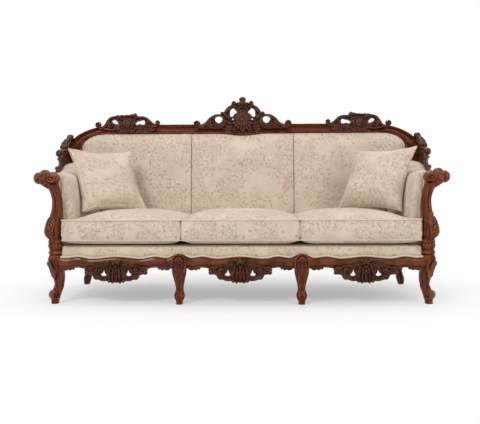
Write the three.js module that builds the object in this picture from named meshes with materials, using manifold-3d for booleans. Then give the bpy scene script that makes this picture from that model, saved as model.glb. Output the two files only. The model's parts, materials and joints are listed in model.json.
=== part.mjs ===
import * as THREE from "three";
import { mergeVertices } from "three/addons/utils/BufferGeometryUtils.js";
import Module from "manifold-3d";

// A carved three-seat sofa with cabriole legs. All sizes are in millimetres.
// X runs to the right as one faces the sofa, Y runs to its back and Z runs up.
// Places are first measured from the front face of the front seat rail, at Y zero.

const wasm = await Module();
wasm.setup();

// Fits
const clearance = 0.3;
const overrun = 40;
const padClearance = 1.2;
const cushionClearance = 0.6;

// Seat frame
const cornerLegSpan = 1950;
const middleLegSpan = 636;
const seatFrameDepth = 660;
const legHeight = 243;
const legBlockWidth = 64;
const rearBlockWidth = 60;
const railDepth = 56;
const railRebate = 17;
const railThickness = 34;
const sideRailThickness = 32;
const sideRailInset = 4;
const lipThickness = 10;
const lipHeight = 5;
const railWave = 20;
const braceWidth = 30;
const blockReach = 70;
const dustClothThickness = 2;

// Legs
const kneeWidth = 72;
const cornerLegSwing = 34;
const toeScrollRadius = 21;
const toeScrollWidth = 34;
const middleLegWidth = 78;
const middleLegDepth = 44;
const middleLegPeakHeight = 22;
const middleLegProud = 22;
const rearLegWidth = 58;
const rearLegSwing = 30;

// Springs
const springWire = 4;
const springWidth = 50;
const springsPerBay = 2;
const springBends = 11;

// Arm posts and scrolls
const postWidth = 69;
const postHeight = 374;
const postSway = 20;
const scrollRadius = 44;
const scrollLength = 130;
const scrollOverhang = 106;
const scrollSink = 2;
const voluteRadius = 25;
const voluteDepth = 40;

// Seat
const deckHeight = 63;
const deckRound = 8;
const seatSplit = 309.5;
const earInset = 40;
const earGap = 4;
const cushionSideGap = 4;
const cushionFront = 4;
const cushionBackGap = 20;
const lowerWeltHeight = 28;
const cushionBorderHeight = 104;
const cushionCrown = 37;
const cushionBulge = 5;

// Back
const backRake = 0.13;
const backInset = 42;
const frameThickness = 38;
const backHeight = 181;
const railFaceHeight = 59;
const crestDip = 13;
const crestDipHalfWidth = 150;
const cornerReach = 149;
const cornerHeight = 90;
const backOverhang = 43;
const backSpringDrop = 8;
const crestEndDrop = 113;
const stileTopWidth = 98;
const crestSpread = 81;
const cornerSteps = 8;
const mouldingDepth = 5;
const backSeam = 320;
const padBottomHeight = 6;
const padEdgeProud = 6;
const padCrown = 24;
const padSeat = 10;
const lowerRailRaise = 18;
const lowerRailHeight = 50;
const lowerRailThickness = 17.6;
const outsidePanelThickness = 7;
const outsidePanelInset = 2;

// Arms
const armFront = 84;
const armInset = 86;
const armBreakHeight = 12;
const armHeight = 74;
const armClimbHeight = 71;
const armFrontFlare = 22;
const armFrontOverhang = 25;
const armRearOverhang = 82;
const armBottomOverhang = 7.6;
const armPanelThickness = 8;
const armRollHeight = 32;
const armRollLip = 12;
const armEdgeRound = 12;
const armRailSize = 36;
const armRailDrop = 70;
const armRailInset = 41;
const armRailRearInset = 61.5;

// Wings between the arms and the top rail
const wingReach = 218;
const wingThickness = 36;
const wingProud = 14;
const wingTopDrop = 8;
const wingSunk = 30;
const wingRollRadius = 20;

// Carvings on the top rail and under the front rail
const carvingFront = 22;
const carvingBack = 20;
const crestCentreHalfWidth = 310;
const crestCentreHeight = 245;
const crestSideInset = 292;
const crestSideHalfWidth = 209;
const crestSideHeight = 144;
const apronHalfWidth = 160;
const apronHeight = 135;
const apronDrop = 74;
const apronThickness = 22;
const scrollBandWidth = 24;
const rosetteShare = 0.23;
const rosetteEyeShare = 0.09;
const hangingShellShare = 0.16;
const heartShare = 0.17;
const rosetteProudShare = 1.3;
const eyeProudShare = 1.6;

// Scatter cushions
const scatterSize = 405;
const scatterThickness = 130;
const scatterInset = 113;
const scatterSetback = 252;
const scatterYaw = 40;
const scatterLean = 27.5;
const scatterDrawShare = 0.07;
const scatterEdge = 1.5;

const fullTurn = Math.PI * 2;
const cornerX = cornerLegSpan / 2;
const middleX = middleLegSpan / 2;
const cornerY = legBlockWidth / 2 + clearance;
const rearY = seatFrameDepth - rearBlockWidth / 2;
const sideRailOuter = cornerX + legBlockWidth / 2 - sideRailInset;
const sideRailInner = sideRailOuter - sideRailThickness;
const backPlane = seatFrameDepth - backInset;
const innerRailY = railThickness + clearance;

// Heights over the floor
const railBottom = legHeight - railDepth;
const railTop = legHeight - railRebate;
const lipTop = legHeight + lipHeight;
const middleLegPeak = legHeight + middleLegPeakHeight;
const apronBase = railBottom - apronDrop;
const deckTop = legHeight + deckHeight;
const lowerWelt = deckTop + lowerWeltHeight;
const upperWelt = lowerWelt + cushionBorderHeight;
const postTop = legHeight + postHeight;
const armBreak = upperWelt + armBreakHeight;
const armTop = postTop + armHeight;
const armRearTop = armTop + armClimbHeight;
const backTop = armRearTop + backHeight;
const crestEnd = backTop - crestEndDrop;
const backSpring = crestEnd - backSpringDrop;
const wingTop = backTop - wingTopDrop;
const crestCentreBase = backTop - crestDip;
const padBottom = deckTop + padBottomHeight;
const lowerRailBottom = padBottom + lowerRailRaise;

// Places across, from the middle
const scrollReach = cornerX + scrollOverhang;
const earHalfWidth = cornerX - earInset;
const armInner = cornerX - armInset;
const seatHalfWidth = armInner - cushionSideGap;
const backHalfWidth = cornerX + backOverhang;
const armFrontTopInner = armInner + armFrontFlare;
const armFrontTopOuter = cornerX + armFrontOverhang;
const armRearTopOuter = backHalfWidth + armRearOverhang;
const armOuterBottom = cornerX + armBottomOverhang;
const crestSideCentre = backHalfWidth - crestSideInset;
const scatterX = seatHalfWidth - scatterInset;

// Places towards the back
const earDepth = armFront - earGap;
const cushionBack = backPlane - cushionBackGap;
const wingTip = backPlane - wingReach;
const scatterY = backPlane - scatterSetback;

const wood = new THREE.MeshStandardMaterial({ color: 0x6e2f1c, roughness: 0.35, metalness: 0 });
const carvedWood = new THREE.MeshStandardMaterial({ color: 0x4a2316, roughness: 0.4, metalness: 0 });
const frameWood = new THREE.MeshStandardMaterial({ color: 0xb08a5c, roughness: 0.7, metalness: 0 });
const fabric = new THREE.MeshStandardMaterial({ color: 0xdccdb8, roughness: 0.9, metalness: 0 });
const springSteel = new THREE.MeshStandardMaterial({ color: 0x8d9093, roughness: 0.4, metalness: 1 });
const blackCloth = new THREE.MeshStandardMaterial({ color: 0x1c1a19, roughness: 0.95, metalness: 0 });

const sofa = new THREE.Group();

function range(count) {
  return Array.from({ length: count }, (_, i) => i);
}

function mix(a, b, share) {
  return a + (b - a) * share;
}

// Reads a table of [place, value, ...] rows, easing from row to row.
function valueAt(rows, place, column = 1) {
  const after = rows.findIndex((row) => row[0] >= place);
  if (after === 0) return rows[0][column];
  if (after < 0) return rows.at(-1)[column];
  const low = rows[after - 1];
  const high = rows[after];
  const share = (place - low[0]) / (high[0] - low[0]);
  return mix(low[column], high[column], share * share * (3 - 2 * share));
}

// Solids from points and triangles

function closedGeometry(points, triangles) {
  const volume = triangles.reduce((sum, [a, b, c]) => {
    const normal = new THREE.Vector3().crossVectors(points[b], points[c]);
    return sum + points[a].dot(normal);
  }, 0);
  const faces = volume < 0 ? triangles.map(([a, b, c]) => [a, c, b]) : triangles;
  const geometry = new THREE.BufferGeometry().setFromPoints(points);
  geometry.setIndex(faces.flat());
  return geometry;
}

function capTriangles(ring, base) {
  const normal = new THREE.Vector3();
  ring.forEach((point, i) => {
    const next = ring[(i + 1) % ring.length];
    normal.add(new THREE.Vector3().crossVectors(point, next));
  });
  normal.normalize();
  const along = new THREE.Vector3().subVectors(ring[1], ring[0]);
  along.addScaledVector(normal, -along.dot(normal)).normalize();
  const across = new THREE.Vector3().crossVectors(normal, along);
  const flat = ring.map((point) => new THREE.Vector2(point.dot(along), point.dot(across)));
  return THREE.ShapeUtils.triangulateShape(flat.slice(), []).map(([a, b, c]) => {
    const area = THREE.ShapeUtils.area([flat[a], flat[b], flat[c]]);
    const turned = area < 0 ? [a, c, b] : [a, b, c];
    return turned.map((i) => base + i);
  });
}

// A closed solid through rings that all have the same number of points.
function loft(rings) {
  const count = rings[0].length;
  const triangles = [];
  range(rings.length - 1).forEach((i) => {
    range(count).forEach((j) => {
      const a = i * count + j;
      const b = i * count + ((j + 1) % count);
      triangles.push([a, b, b + count], [a, b + count, a + count]);
    });
  });
  const start = capTriangles(rings[0], 0).map(([a, b, c]) => [a, c, b]);
  const end = capTriangles(rings.at(-1), (rings.length - 1) * count);
  return closedGeometry(rings.flat(), [...triangles, ...start, ...end]);
}

// A round-cornered section at one height. A higher squareness gives sharper corners.
function levelRing(x, y, z, width, depth, squareness, sides) {
  return range(sides).map((i) => {
    const angle = ((i + 0.5) / sides) * fullTurn;
    const across = Math.cos(angle);
    const back = Math.sin(angle);
    const power = 2 / squareness;
    return new THREE.Vector3(
      x + (width / 2) * Math.sign(across) * Math.abs(across) ** power,
      y + (depth / 2) * Math.sign(back) * Math.abs(back) ** power,
      z,
    );
  });
}

// A flat piece with its outline in X and Z, between two depths.
function plate(outline, front, back) {
  const shape = new THREE.Shape(outline);
  const geometry = new THREE.ExtrudeGeometry(shape, { depth: back - front, bevelEnabled: false });
  geometry.rotateX(fullTurn / 4);
  geometry.translate(0, back, 0);
  return geometry;
}

// A flat piece with its outline in X and Y, between two heights.
function slab(outline, bottom, top) {
  const shape = new THREE.Shape(outline);
  const geometry = new THREE.ExtrudeGeometry(shape, { depth: top - bottom, bevelEnabled: false });
  geometry.translate(0, 0, bottom);
  return geometry;
}

function block(left, right, front, back, bottom, top) {
  const geometry = new THREE.BoxGeometry(right - left, back - front, top - bottom);
  geometry.translate((left + right) / 2, (front + back) / 2, (bottom + top) / 2);
  return geometry;
}

// Joins and cuts

function toSolid(geometry) {
  const bare = new THREE.BufferGeometry();
  bare.setAttribute("position", geometry.getAttribute("position"));
  if (geometry.index) bare.setIndex(geometry.index);
  const merged = mergeVertices(bare);
  const index = Array.from(merged.index.array);
  const kept = range(index.length / 3).filter((i) => {
    const [a, b, c] = index.slice(3 * i, 3 * i + 3);
    return a !== b && b !== c && c !== a;
  });
  const triVerts = Uint32Array.from(kept.flatMap((i) => index.slice(3 * i, 3 * i + 3)));
  const vertProperties = Float32Array.from(merged.getAttribute("position").array);
  return new wasm.Manifold(new wasm.Mesh({ numProp: 3, vertProperties, triVerts }));
}

function fromSolid(solid) {
  const mesh = solid.getMesh();
  const geometry = new THREE.BufferGeometry();
  geometry.setAttribute("position", new THREE.BufferAttribute(mesh.vertProperties, mesh.numProp));
  geometry.setIndex(Array.from(mesh.triVerts));
  return geometry;
}

function join(...geometries) {
  const solids = geometries.map(toSolid);
  return fromSolid(solids.reduce((whole, solid) => whole.add(solid)));
}

function cut(geometry, ...cutters) {
  const solid = cutters.map(toSolid).reduce((whole, cutter) => whole.subtract(cutter), toSolid(geometry));
  return fromSolid(solid);
}

// Keeps the largest body, without the slivers that a cut leaves.
function mainBody(geometry) {
  const bodies = toSolid(geometry).decompose();
  return fromSolid(bodies.reduce((best, body) => (body.volume() > best.volume() ? body : best)));
}

// Placing

function mirrored(geometry) {
  const copy = geometry.index ? geometry.clone() : mergeVertices(geometry);
  const position = copy.getAttribute("position");
  range(position.count).forEach((i) => position.setX(i, -position.getX(i)));
  const index = Array.from(copy.index.array);
  const turned = range(index.length / 3).flatMap((i) => [index[3 * i], index[3 * i + 2], index[3 * i + 1]]);
  copy.setIndex(turned);
  return copy;
}

function backFront(z) {
  return backPlane + backRake * (z - railTop);
}

// Leans a piece of the back: its Y is first measured from the front plane of the back frame.
function raked(geometry) {
  const position = geometry.getAttribute("position");
  range(position.count).forEach((i) => position.setY(i, position.getY(i) + backFront(position.getZ(i))));
  return geometry;
}

function add(name, geometry, material) {
  const bare = new THREE.BufferGeometry();
  bare.setAttribute("position", geometry.getAttribute("position"));
  if (geometry.index) bare.setIndex(geometry.index);
  const mesh = new THREE.Mesh(bare, material);
  mesh.name = name;
  sofa.add(mesh);
}

function addPair(name, geometry, material) {
  add(`${name}_right`, geometry, material);
  add(`${name}_left`, mirrored(geometry), material);
}

// Legs. Each row holds shares: height, swing outward, width and squareness.

const cornerLegShares = [
  [0, 0.17, 0.51, 2.2],
  [0.05, 0.14, 0.53, 2.2],
  [0.12, 0.04, 0.6, 2.4],
  [0.2, -0.14, 0.63, 2.4],
  [0.28, -0.36, 0.62, 2.4],
  [0.37, -0.5, 0.65, 2.6],
  [0.48, -0.42, 0.75, 2.8],
  [0.6, -0.22, 0.87, 3.2],
  [0.7, -0.06, 0.95, 3.6],
  [0.8, 0, 0.98, 4.5],
  [0.88, 0, 0.92, 7],
  [1, 0, 0.889, 9],
];

function toeScroll(centreX, centreY, centreZ, angle) {
  const roll = new THREE.CylinderGeometry(toeScrollRadius, toeScrollRadius, toeScrollWidth, 12);
  roll.rotateZ(angle);
  roll.translate(centreX, centreY, centreZ);
  return roll;
}

// Cuts the two faces that the rails butt against. The rail is on the side that away points to.
function railSeats(leg, innerX, faceY, away) {
  const low = railBottom - railWave / 2;
  const high = legHeight + overrun;
  const [front, back] = [faceY, faceY + away * overrun].sort((a, b) => a - b);
  const beside = block(innerX - overrun, innerX, cornerY - seatFrameDepth, seatFrameDepth * 2, low, high);
  const across = block(innerX - overrun, cornerX + kneeWidth, front, back, low, high);
  return cut(leg, beside, across);
}

function cornerLeg() {
  const rings = cornerLegShares.map(([height, swing, width, squareness]) => {
    const shift = swing * cornerLegSwing * Math.SQRT1_2;
    const size = width * kneeWidth;
    return levelRing(cornerX + shift, cornerY - shift, height * legHeight, size, size, squareness, 12);
  });
  const rollShare = 0.165;
  const reach = cornerLegSwing / 3;
  const roll = toeScroll(cornerX + reach, cornerY - reach, rollShare * legHeight, fullTurn / 8);
  return railSeats(join(loft(rings), roll), cornerX - legBlockWidth / 2, cornerY + legBlockWidth / 2, 1);
}

// Rows of height, forward swing, width and depth shares, up to the shoulder under the rail.
const middleLegShares = [
  [0, -0.45, 0.36, 0.64],
  [0.09, -0.45, 0.44, 0.8],
  [0.16, -0.5, 0.56, 0.95],
  [0.24, -0.62, 0.62, 0.95],
  [0.34, -0.92, 0.56, 0.9],
  [0.45, -0.98, 0.58, 0.96],
  [0.58, -0.72, 0.66, 1.05],
  [0.75, -0.25, 0.82, 1.15],
  [0.88, 0, 0.96, 1.2],
  [1, 0, 1, 1.2],
];

// The cartouche above the shoulder: height and width shares.
const cartoucheShares = [
  [0, 1],
  [0.3, 0.97],
  [0.55, 0.84],
  [0.75, 0.66],
  [0.9, 0.42],
  [1, 0.2],
];

function middleLeg(grow) {
  const shoulder = railBottom - clearance;
  const rings = middleLegShares.map(([height, swing, width, depth]) => {
    const z = height * shoulder;
    const y = depth * middleLegDepth / 2 - middleLegProud - swing * middleLegDepth / 2;
    const wide = width * middleLegWidth + 2 * grow;
    return levelRing(middleX, y, z, wide, depth * middleLegDepth + 2 * grow, 3, 12);
  });
  const head = cartoucheShares.map(([height, width]) => {
    const depth = middleLegProud + lipThickness;
    const z = mix(shoulder, middleLegPeak + grow, height);
    const wide = width * middleLegWidth + 2 * grow;
    return levelRing(middleX, depth / 2 - middleLegProud, z, wide, depth + 2 * grow, 5, 12);
  });
  return loft([...rings, ...head.slice(1)]);
}

const rearLegShares = [
  [0, 0.2, 0.5, 2.4],
  [0.08, 0.1, 0.56, 2.4],
  [0.2, -0.2, 0.56, 2.4],
  [0.35, -0.6, 0.62, 2.6],
  [0.52, -0.35, 0.86, 3],
  [0.66, 0.05, 1.1, 3.2],
  [0.76, 0.1, 1.16, 3.4],
  [0.86, 0, 1.035, 6],
  [1, 0, 1.034, 9],
];

function rearLeg() {
  const rings = rearLegShares.map(([height, swing, width, squareness]) => {
    const shift = swing * rearLegSwing * Math.SQRT1_2;
    const size = width * rearLegWidth;
    return levelRing(cornerX + shift, rearY + shift / 2, height * legHeight, size, size, squareness, 12);
  });
  return railSeats(loft(rings), cornerX - rearBlockWidth / 2, rearY - rearBlockWidth / 2, -1);
}

// Seat frame

// The waved edge in one bay: distance from the bay's centre and rise, as shares.
const upperWaveShares = [[0, 0], [0.39, -0.5], [0.62, 0.05], [0.8, -0.3], [1, 0.85]];
const outerWaveShares = [[0, 0], [0.39, -0.5], [0.62, 0.05], [0.8, -0.3], [1, 0]];
const lowerWaveShares = [[0, -0.3], [0.45, -0.2], [0.62, 0.2], [0.8, -0.1], [1, 0]];

function bayAt(x) {
  const reach = Math.abs(x);
  const inner = reach < middleX;
  const centre = inner ? 0 : (cornerX + middleX) / 2;
  const half = inner ? middleX : (cornerX - middleX) / 2;
  return { share: Math.abs(reach - centre) / half, outside: reach > centre && !inner };
}

function railUpperEdge(x) {
  const bay = bayAt(x);
  const rows = bay.outside ? outerWaveShares : upperWaveShares;
  return lipTop + railWave * valueAt(rows, bay.share);
}

function railLowerEdge(x) {
  return railBottom + railWave * valueAt(lowerWaveShares, bayAt(x).share);
}

function frontRail() {
  const half = cornerX - legBlockWidth / 2 - clearance;
  const steps = 40;
  const places = range(steps + 1).map((i) => mix(-half, half, i / steps));
  const lower = places.map((x) => new THREE.Vector2(x, railLowerEdge(x)));
  const upper = places.map((x) => new THREE.Vector2(x, railUpperEdge(x))).reverse();
  const body = plate([...lower, ...upper], 0, railThickness);
  const rabbet = block(-half - overrun, half + overrun, lipThickness, railThickness + overrun,
    railTop, lipTop + overrun);
  const leg = middleLeg(clearance);
  return cut(body, rabbet, leg, mirrored(leg));
}

function sideRail() {
  const front = legBlockWidth + 2 * clearance;
  const back = seatFrameDepth - rearBlockWidth - clearance;
  const bow = [[0, 0], [0.3, 0.45], [0.5, 0.6], [0.7, 0.45], [1, 0]];
  const steps = 12;
  const places = range(steps + 1).map((i) => i / steps);
  const lower = places.map((t) => new THREE.Vector2(mix(front, back, t), railBottom + railWave * valueAt(bow, t)));
  const outline = [...lower, new THREE.Vector2(back, legHeight), new THREE.Vector2(front, legHeight)];
  const geometry = slab(outline, sideRailInner, sideRailOuter);
  geometry.rotateX(fullTurn / 4);
  geometry.rotateZ(fullTurn / 4);
  return geometry;
}

function cornerBlock(atRear) {
  const legX = cornerX - legBlockWidth / 2 - clearance;
  const legY = atRear ? seatFrameDepth - rearBlockWidth - clearance : legBlockWidth + 2 * clearance;
  const railY = atRear ? seatFrameDepth - sideRailThickness - clearance : innerRailY;
  const railX = sideRailInner - clearance;
  const away = atRear ? -1 : 1;
  const rearLegX = cornerX - rearBlockWidth / 2 - clearance;
  const insideX = atRear ? Math.min(legX, rearLegX) : legX;
  const outline = [
    [insideX, railY],
    [insideX, legY],
    [railX, legY],
    [railX, legY + away * blockReach],
    [insideX - blockReach, railY],
  ];
  return slab(outline.map(([x, y]) => new THREE.Vector2(x, y)), railBottom + lipThickness / 2, railTop - clearance);
}

// A zigzag spring from rail to rail, in the plane above the rails.
function zigzagSpring(x) {
  const z = railTop + clearance + springWire / 2;
  const front = lipThickness + springWire;
  const back = seatFrameDepth - sideRailThickness / 2 - springWire;
  const corners = range(springBends + 1).map((i) => {
    const side = i === 0 || i === springBends ? 0 : (i % 2) - 0.5;
    return new THREE.Vector3(x + side * springWidth, mix(front, back, i / springBends), z);
  });
  const wire = springWire / 2;
  const bendLength = (back - front) / springBends;
  const mitre = wire * Math.hypot(springWidth, bendLength) / bendLength;
  const rings = corners.map((corner) => [
    new THREE.Vector3(corner.x - mitre, corner.y, corner.z - wire),
    new THREE.Vector3(corner.x + mitre, corner.y, corner.z - wire),
    new THREE.Vector3(corner.x + mitre, corner.y, corner.z + wire),
    new THREE.Vector3(corner.x - mitre, corner.y, corner.z + wire),
  ]);
  return loft(rings);
}

function dustCloth() {
  const halfX = sideRailInner - clearance;
  const legX = cornerX - legBlockWidth / 2 - clearance;
  const front = innerRailY;
  const back = seatFrameDepth - sideRailThickness - clearance;
  const legFront = legBlockWidth + 2 * clearance;
  const legBack = seatFrameDepth - rearBlockWidth - clearance;
  const half = [
    [legX, front],
    [legX, legFront],
    [halfX, legFront],
    [halfX, legBack],
    [legX, legBack],
    [legX, back],
  ];
  const outline = [...half, ...half.map(([x, y]) => [-x, y]).reverse()];
  const bottom = railBottom + clearance;
  return slab(outline.map(([x, y]) => new THREE.Vector2(x, y)), bottom, bottom + dustClothThickness);
}

// Arm posts. Rows of height, sideways and backward sway, width, depth and squareness, as shares.
const postShares = [
  [0, 0, 0, 1, 1, 2.2],
  [0.02, 0, 0, 1, 1, 2.2],
  [0.035, 0, 0, 0.88, 0.88, 2.2],
  [0.055, 0, 0, 0.92, 0.92, 2.2],
  [0.07, 0, 0, 1, 1, 2.2],
  [0.085, 0, 0, 0.93, 0.93, 2.2],
  [0.11, 0, 0, 0.84, 0.84, 2.2],
  [0.15, 0, 0, 0.95, 0.95, 2.2],
  [0.185, 0, 0, 0.86, 0.86, 2.2],
  [0.2, 0, 0, 1, 1, 2.4],
  [0.235, 0, 0, 1, 1, 2.4],
  [0.25, 0, 0, 0.88, 0.9, 2.4],
  [0.3, 0.45, 0, 1.06, 1.08, 2.6],
  [0.37, 0.65, 0.14, 1.13, 1.18, 2.6],
  [0.45, 0.5, 0.3, 1.1, 1.14, 2.6],
  [0.53, 0.1, 0.55, 0.95, 1.04, 2.6],
  [0.61, -0.35, 0.74, 0.82, 0.95, 2.8],
  [0.7, -0.64, 0.95, 0.74, 0.85, 3],
  [0.79, -0.6, 1, 0.69, 0.81, 3],
  [0.88, -0.3, 0.95, 0.67, 0.83, 3],
  [0.95, 0.1, 0.85, 0.73, 0.87, 3],
  [1, 0.5, 0.75, 0.82, 0.9, 3],
];

function armPost(grow) {
  const bottom = legHeight + clearance;
  const rings = postShares.map(([height, side, back, width, depth, squareness]) => {
    const z = mix(bottom, postTop, height) + (height === 1 ? grow : 0);
    const x = cornerX + side * postSway;
    return levelRing(x, cornerY + back * postSway, z, width * postWidth + 2 * grow,
      depth * postWidth + 2 * grow, squareness, 12);
  });
  return loft(rings);
}

// The roll at the arm's front: length and radius shares from its outer end.
const rollShares = [
  [0, 0],
  [0.02, 0.3],
  [0.09, 0.5],
  [0.16, 0.52],
  [0.2, 0.66],
  [0.28, 0.88],
  [0.4, 1],
  [0.52, 0.98],
  [0.6, 0.86],
  [0.64, 0.78],
  [0.7, 0.86],
  [0.92, 0.66],
  [1, 0.5],
  [1, 0],
];

function scrollAxisZ() {
  return postTop + scrollRadius - scrollSink;
}

function armScroll(grow) {
  const inner = scrollReach - scrollLength;
  const profile = rollShares.map(([along, radius]) => {
    const x = mix(scrollReach + grow, inner - grow, along);
    return new THREE.Vector2(radius === 0 ? 0 : radius * scrollRadius + grow, x);
  });
  const roll = new THREE.LatheGeometry(profile.reverse(), 12);
  roll.rotateZ(-fullTurn / 4);
  roll.translate(0, cornerY, scrollAxisZ());
  const volute = new THREE.CylinderGeometry(voluteRadius + grow, voluteRadius + grow, voluteDepth * 2, 12);
  volute.translate(inner + voluteRadius, cornerY, scrollAxisZ());
  const whole = join(roll, volute);
  return cut(whole, armPost(clearance));
}

// Back frame

function crestDipAt(x) {
  const share = Math.min(1, Math.abs(x) / crestDipHalfWidth);
  return crestDip * (0.5 + 0.5 * Math.cos(share * fullTurn / 2));
}

const dipStationShares = [0, 0.25, 0.5, 0.75, 1];
const straightStationShares = [0.35, 0.6, 0.82];

// The edge of the opening on the right side: half width at a height.
function openingHalfWidth(z) {
  const springline = backTop - cornerHeight;
  if (z <= springline) return backHalfWidth;
  const rise = Math.min(1, (z - springline) / cornerHeight);
  return backHalfWidth - cornerReach + cornerReach * Math.sqrt(1 - rise * rise);
}

function sideLine(z) {
  const slope = (backHalfWidth - armInner) / (backSpring - armBreak);
  const straight = armInner + slope * Math.max(0, z - armBreak);
  return Math.min(straight, openingHalfWidth(z));
}

function stileInner(z) {
  const share = (z - legHeight) / (crestEnd - legHeight);
  return mix(cornerX - rearBlockWidth / 2, backHalfWidth, share);
}

function stileOuter(z) {
  const share = (z - legHeight) / (crestEnd - legHeight);
  return mix(cornerX + rearBlockWidth / 2, backHalfWidth + stileTopWidth, share);
}

// The moulded face of the top rail: across from the inner edge, and depth share.
const mouldingShares = [
  [0, 0.8],
  [0.05, -0.6],
  [0.15, -1],
  [0.25, -0.4],
  [0.36, 0.6],
  [0.6, 1],
  [0.78, 0.1],
  [0.9, -1],
  [1, -0.2],
];

// Inner and outer edge points along the top rail, from the centre to its right end.
function crestEdges() {
  const startInner = backHalfWidth - cornerReach;
  const startOuter = startInner - crestSpread;
  const dips = dipStationShares.map((share) => share * crestDipHalfWidth);
  const places = [...dips, ...straightStationShares.map((share) => share * startInner)];
  const straight = places.map((x) => ({
    inner: new THREE.Vector2(x, backTop - crestDipAt(x)),
    outer: new THREE.Vector2(x * startOuter / startInner, backTop + railFaceHeight),
  }));
  const outerRise = backTop + railFaceHeight - crestEnd;
  const outerReach = backHalfWidth + stileTopWidth - startOuter;
  const corner = range(cornerSteps + 1).map((i) => {
    const angle = (i / cornerSteps) * fullTurn / 4;
    const inner = new THREE.Vector2(startInner + cornerReach * Math.sin(angle),
      backTop - cornerHeight + cornerHeight * Math.cos(angle));
    const outer = new THREE.Vector2(startOuter + outerReach * Math.sin(angle),
      crestEnd + outerRise * Math.cos(angle));
    return { inner, outer };
  });
  const foot = {
    inner: new THREE.Vector2(backHalfWidth, crestEnd),
    outer: corner.at(-1).outer.clone(),
  };
  return [...straight, ...corner.slice(0, -1), foot];
}

function crestRing({ inner, outer }, grow) {
  const along = new THREE.Vector2().subVectors(outer, inner);
  const unit = along.clone().normalize();
  const from = inner.clone().addScaledVector(unit, -grow);
  const to = outer.clone().addScaledVector(unit, grow);
  const place = (share, depth) => new THREE.Vector3(mix(from.x, to.x, share), depth, mix(from.y, to.y, share));
  const face = mouldingShares.map(([share, depth]) => place(share, depth * mouldingDepth - grow));
  const back = frameThickness + grow;
  return [...face, place(1, back - mouldingDepth), place(0.9, back), place(0.1, back), place(0, back - mouldingDepth)];
}

function crestRail(grow) {
  const right = crestEdges();
  const left = right.slice(1).reverse().map(({ inner, outer }) => ({
    inner: new THREE.Vector2(-inner.x, inner.y),
    outer: new THREE.Vector2(-outer.x, outer.y),
  }));
  return loft([...left, ...right].map((edge) => crestRing(edge, grow)));
}

function backStile() {
  const heights = [legHeight + clearance, armBreak, armRearTop, crestEnd - clearance];
  const chamfer = mouldingDepth;
  const rings = heights.map((z) => {
    const inner = stileInner(z);
    const outer = stileOuter(z);
    const corners = [
      [inner + chamfer, 0],
      [outer - chamfer, 0],
      [outer, chamfer],
      [outer, frameThickness - chamfer],
      [outer - chamfer, frameThickness],
      [inner + chamfer, frameThickness],
      [inner, frameThickness - chamfer],
      [inner, chamfer],
    ];
    return corners.map(([x, y]) => new THREE.Vector3(x, y, z));
  });
  return loft(rings);
}

function backLowerRail() {
  const top = lowerRailBottom + lowerRailHeight;
  const low = stileInner(lowerRailBottom) - clearance;
  const high = stileInner(top) - clearance;
  const outline = [[-low, lowerRailBottom], [low, lowerRailBottom], [high, top], [-high, top]];
  const front = padSeat + clearance;
  return plate(outline.map(([x, z]) => new THREE.Vector2(x, z)), front, front + lowerRailThickness);
}

function backOutside() {
  const bottom = railTop + clearance;
  const springline = backTop - cornerHeight;
  const low = Math.min(stileInner(legHeight), cornerX - rearBlockWidth / 2) - clearance;
  const corner = range(cornerSteps + 1).map((i) => {
    const angle = (i / cornerSteps) * fullTurn / 4;
    const height = i === 0 ? crestEnd : springline + (cornerHeight - padClearance) * Math.sin(angle);
    return [backHalfWidth - cornerReach + (cornerReach - padClearance) * Math.cos(angle), height];
  });
  const dips = dipStationShares.slice(1, -1).reverse().map((share) => {
    const x = share * crestDipHalfWidth;
    return [x, backTop - crestDipAt(x) - padClearance];
  });
  const right = [[low - padClearance, bottom], [low - padClearance, legHeight], ...corner,
    [crestDipHalfWidth, backTop - padClearance], ...dips];
  const centre = [0, backTop - crestDip - padClearance];
  const left = right.map(([x, z]) => [-x, z]).reverse();
  const outline = [...right, centre, ...left].map(([x, z]) => new THREE.Vector2(x, z));
  const back = frameThickness - outsidePanelInset;
  return plate(outline, back - outsidePanelThickness, back);
}

// Soft pieces

// A closed pad between two grids of points. A middle ring, where given, rounds its edge.
function padBetween(columns, rows, top, bottom, middle) {
  const points = [];
  const keep = (point) => points.push(point) - 1;
  const gridOf = (surface) => range(rows + 1).map((j) => range(columns + 1).map((i) => keep(surface(i, j))));
  const upper = gridOf(top);
  const lower = gridOf(bottom);
  const border = [
    ...range(columns).map((i) => [i, 0]),
    ...range(rows).map((j) => [columns, j]),
    ...range(columns).map((i) => [columns - i, rows]),
    ...range(rows).map((j) => [0, rows - j]),
  ];
  const loops = [border.map(([i, j]) => lower[j][i])];
  if (middle) loops.push(border.map(([i, j]) => keep(middle(i, j))));
  loops.push(border.map(([i, j]) => upper[j][i]));
  const triangles = [];
  range(rows).forEach((j) => range(columns).forEach((i) => {
    triangles.push([upper[j][i], upper[j][i + 1], upper[j + 1][i + 1]]);
    triangles.push([upper[j][i], upper[j + 1][i + 1], upper[j + 1][i]]);
    triangles.push([lower[j][i], lower[j + 1][i + 1], lower[j][i + 1]]);
    triangles.push([lower[j][i], lower[j + 1][i], lower[j + 1][i + 1]]);
  }));
  range(loops.length - 1).forEach((k) => border.forEach((_, m) => {
    const next = (m + 1) % border.length;
    triangles.push([loops[k][m], loops[k][next], loops[k + 1][next]]);
    triangles.push([loops[k][m], loops[k + 1][next], loops[k + 1][m]]);
  }));
  return closedGeometry(points, triangles);
}

function dome(share, power) {
  return 1 - Math.abs(2 * share - 1) ** power;
}

// Spreads grid lines so that more of them lie near the edges.
function eased(share) {
  return mix(share, 0.5 - 0.5 * Math.cos(share * fullTurn / 2), 0.6);
}

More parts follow.
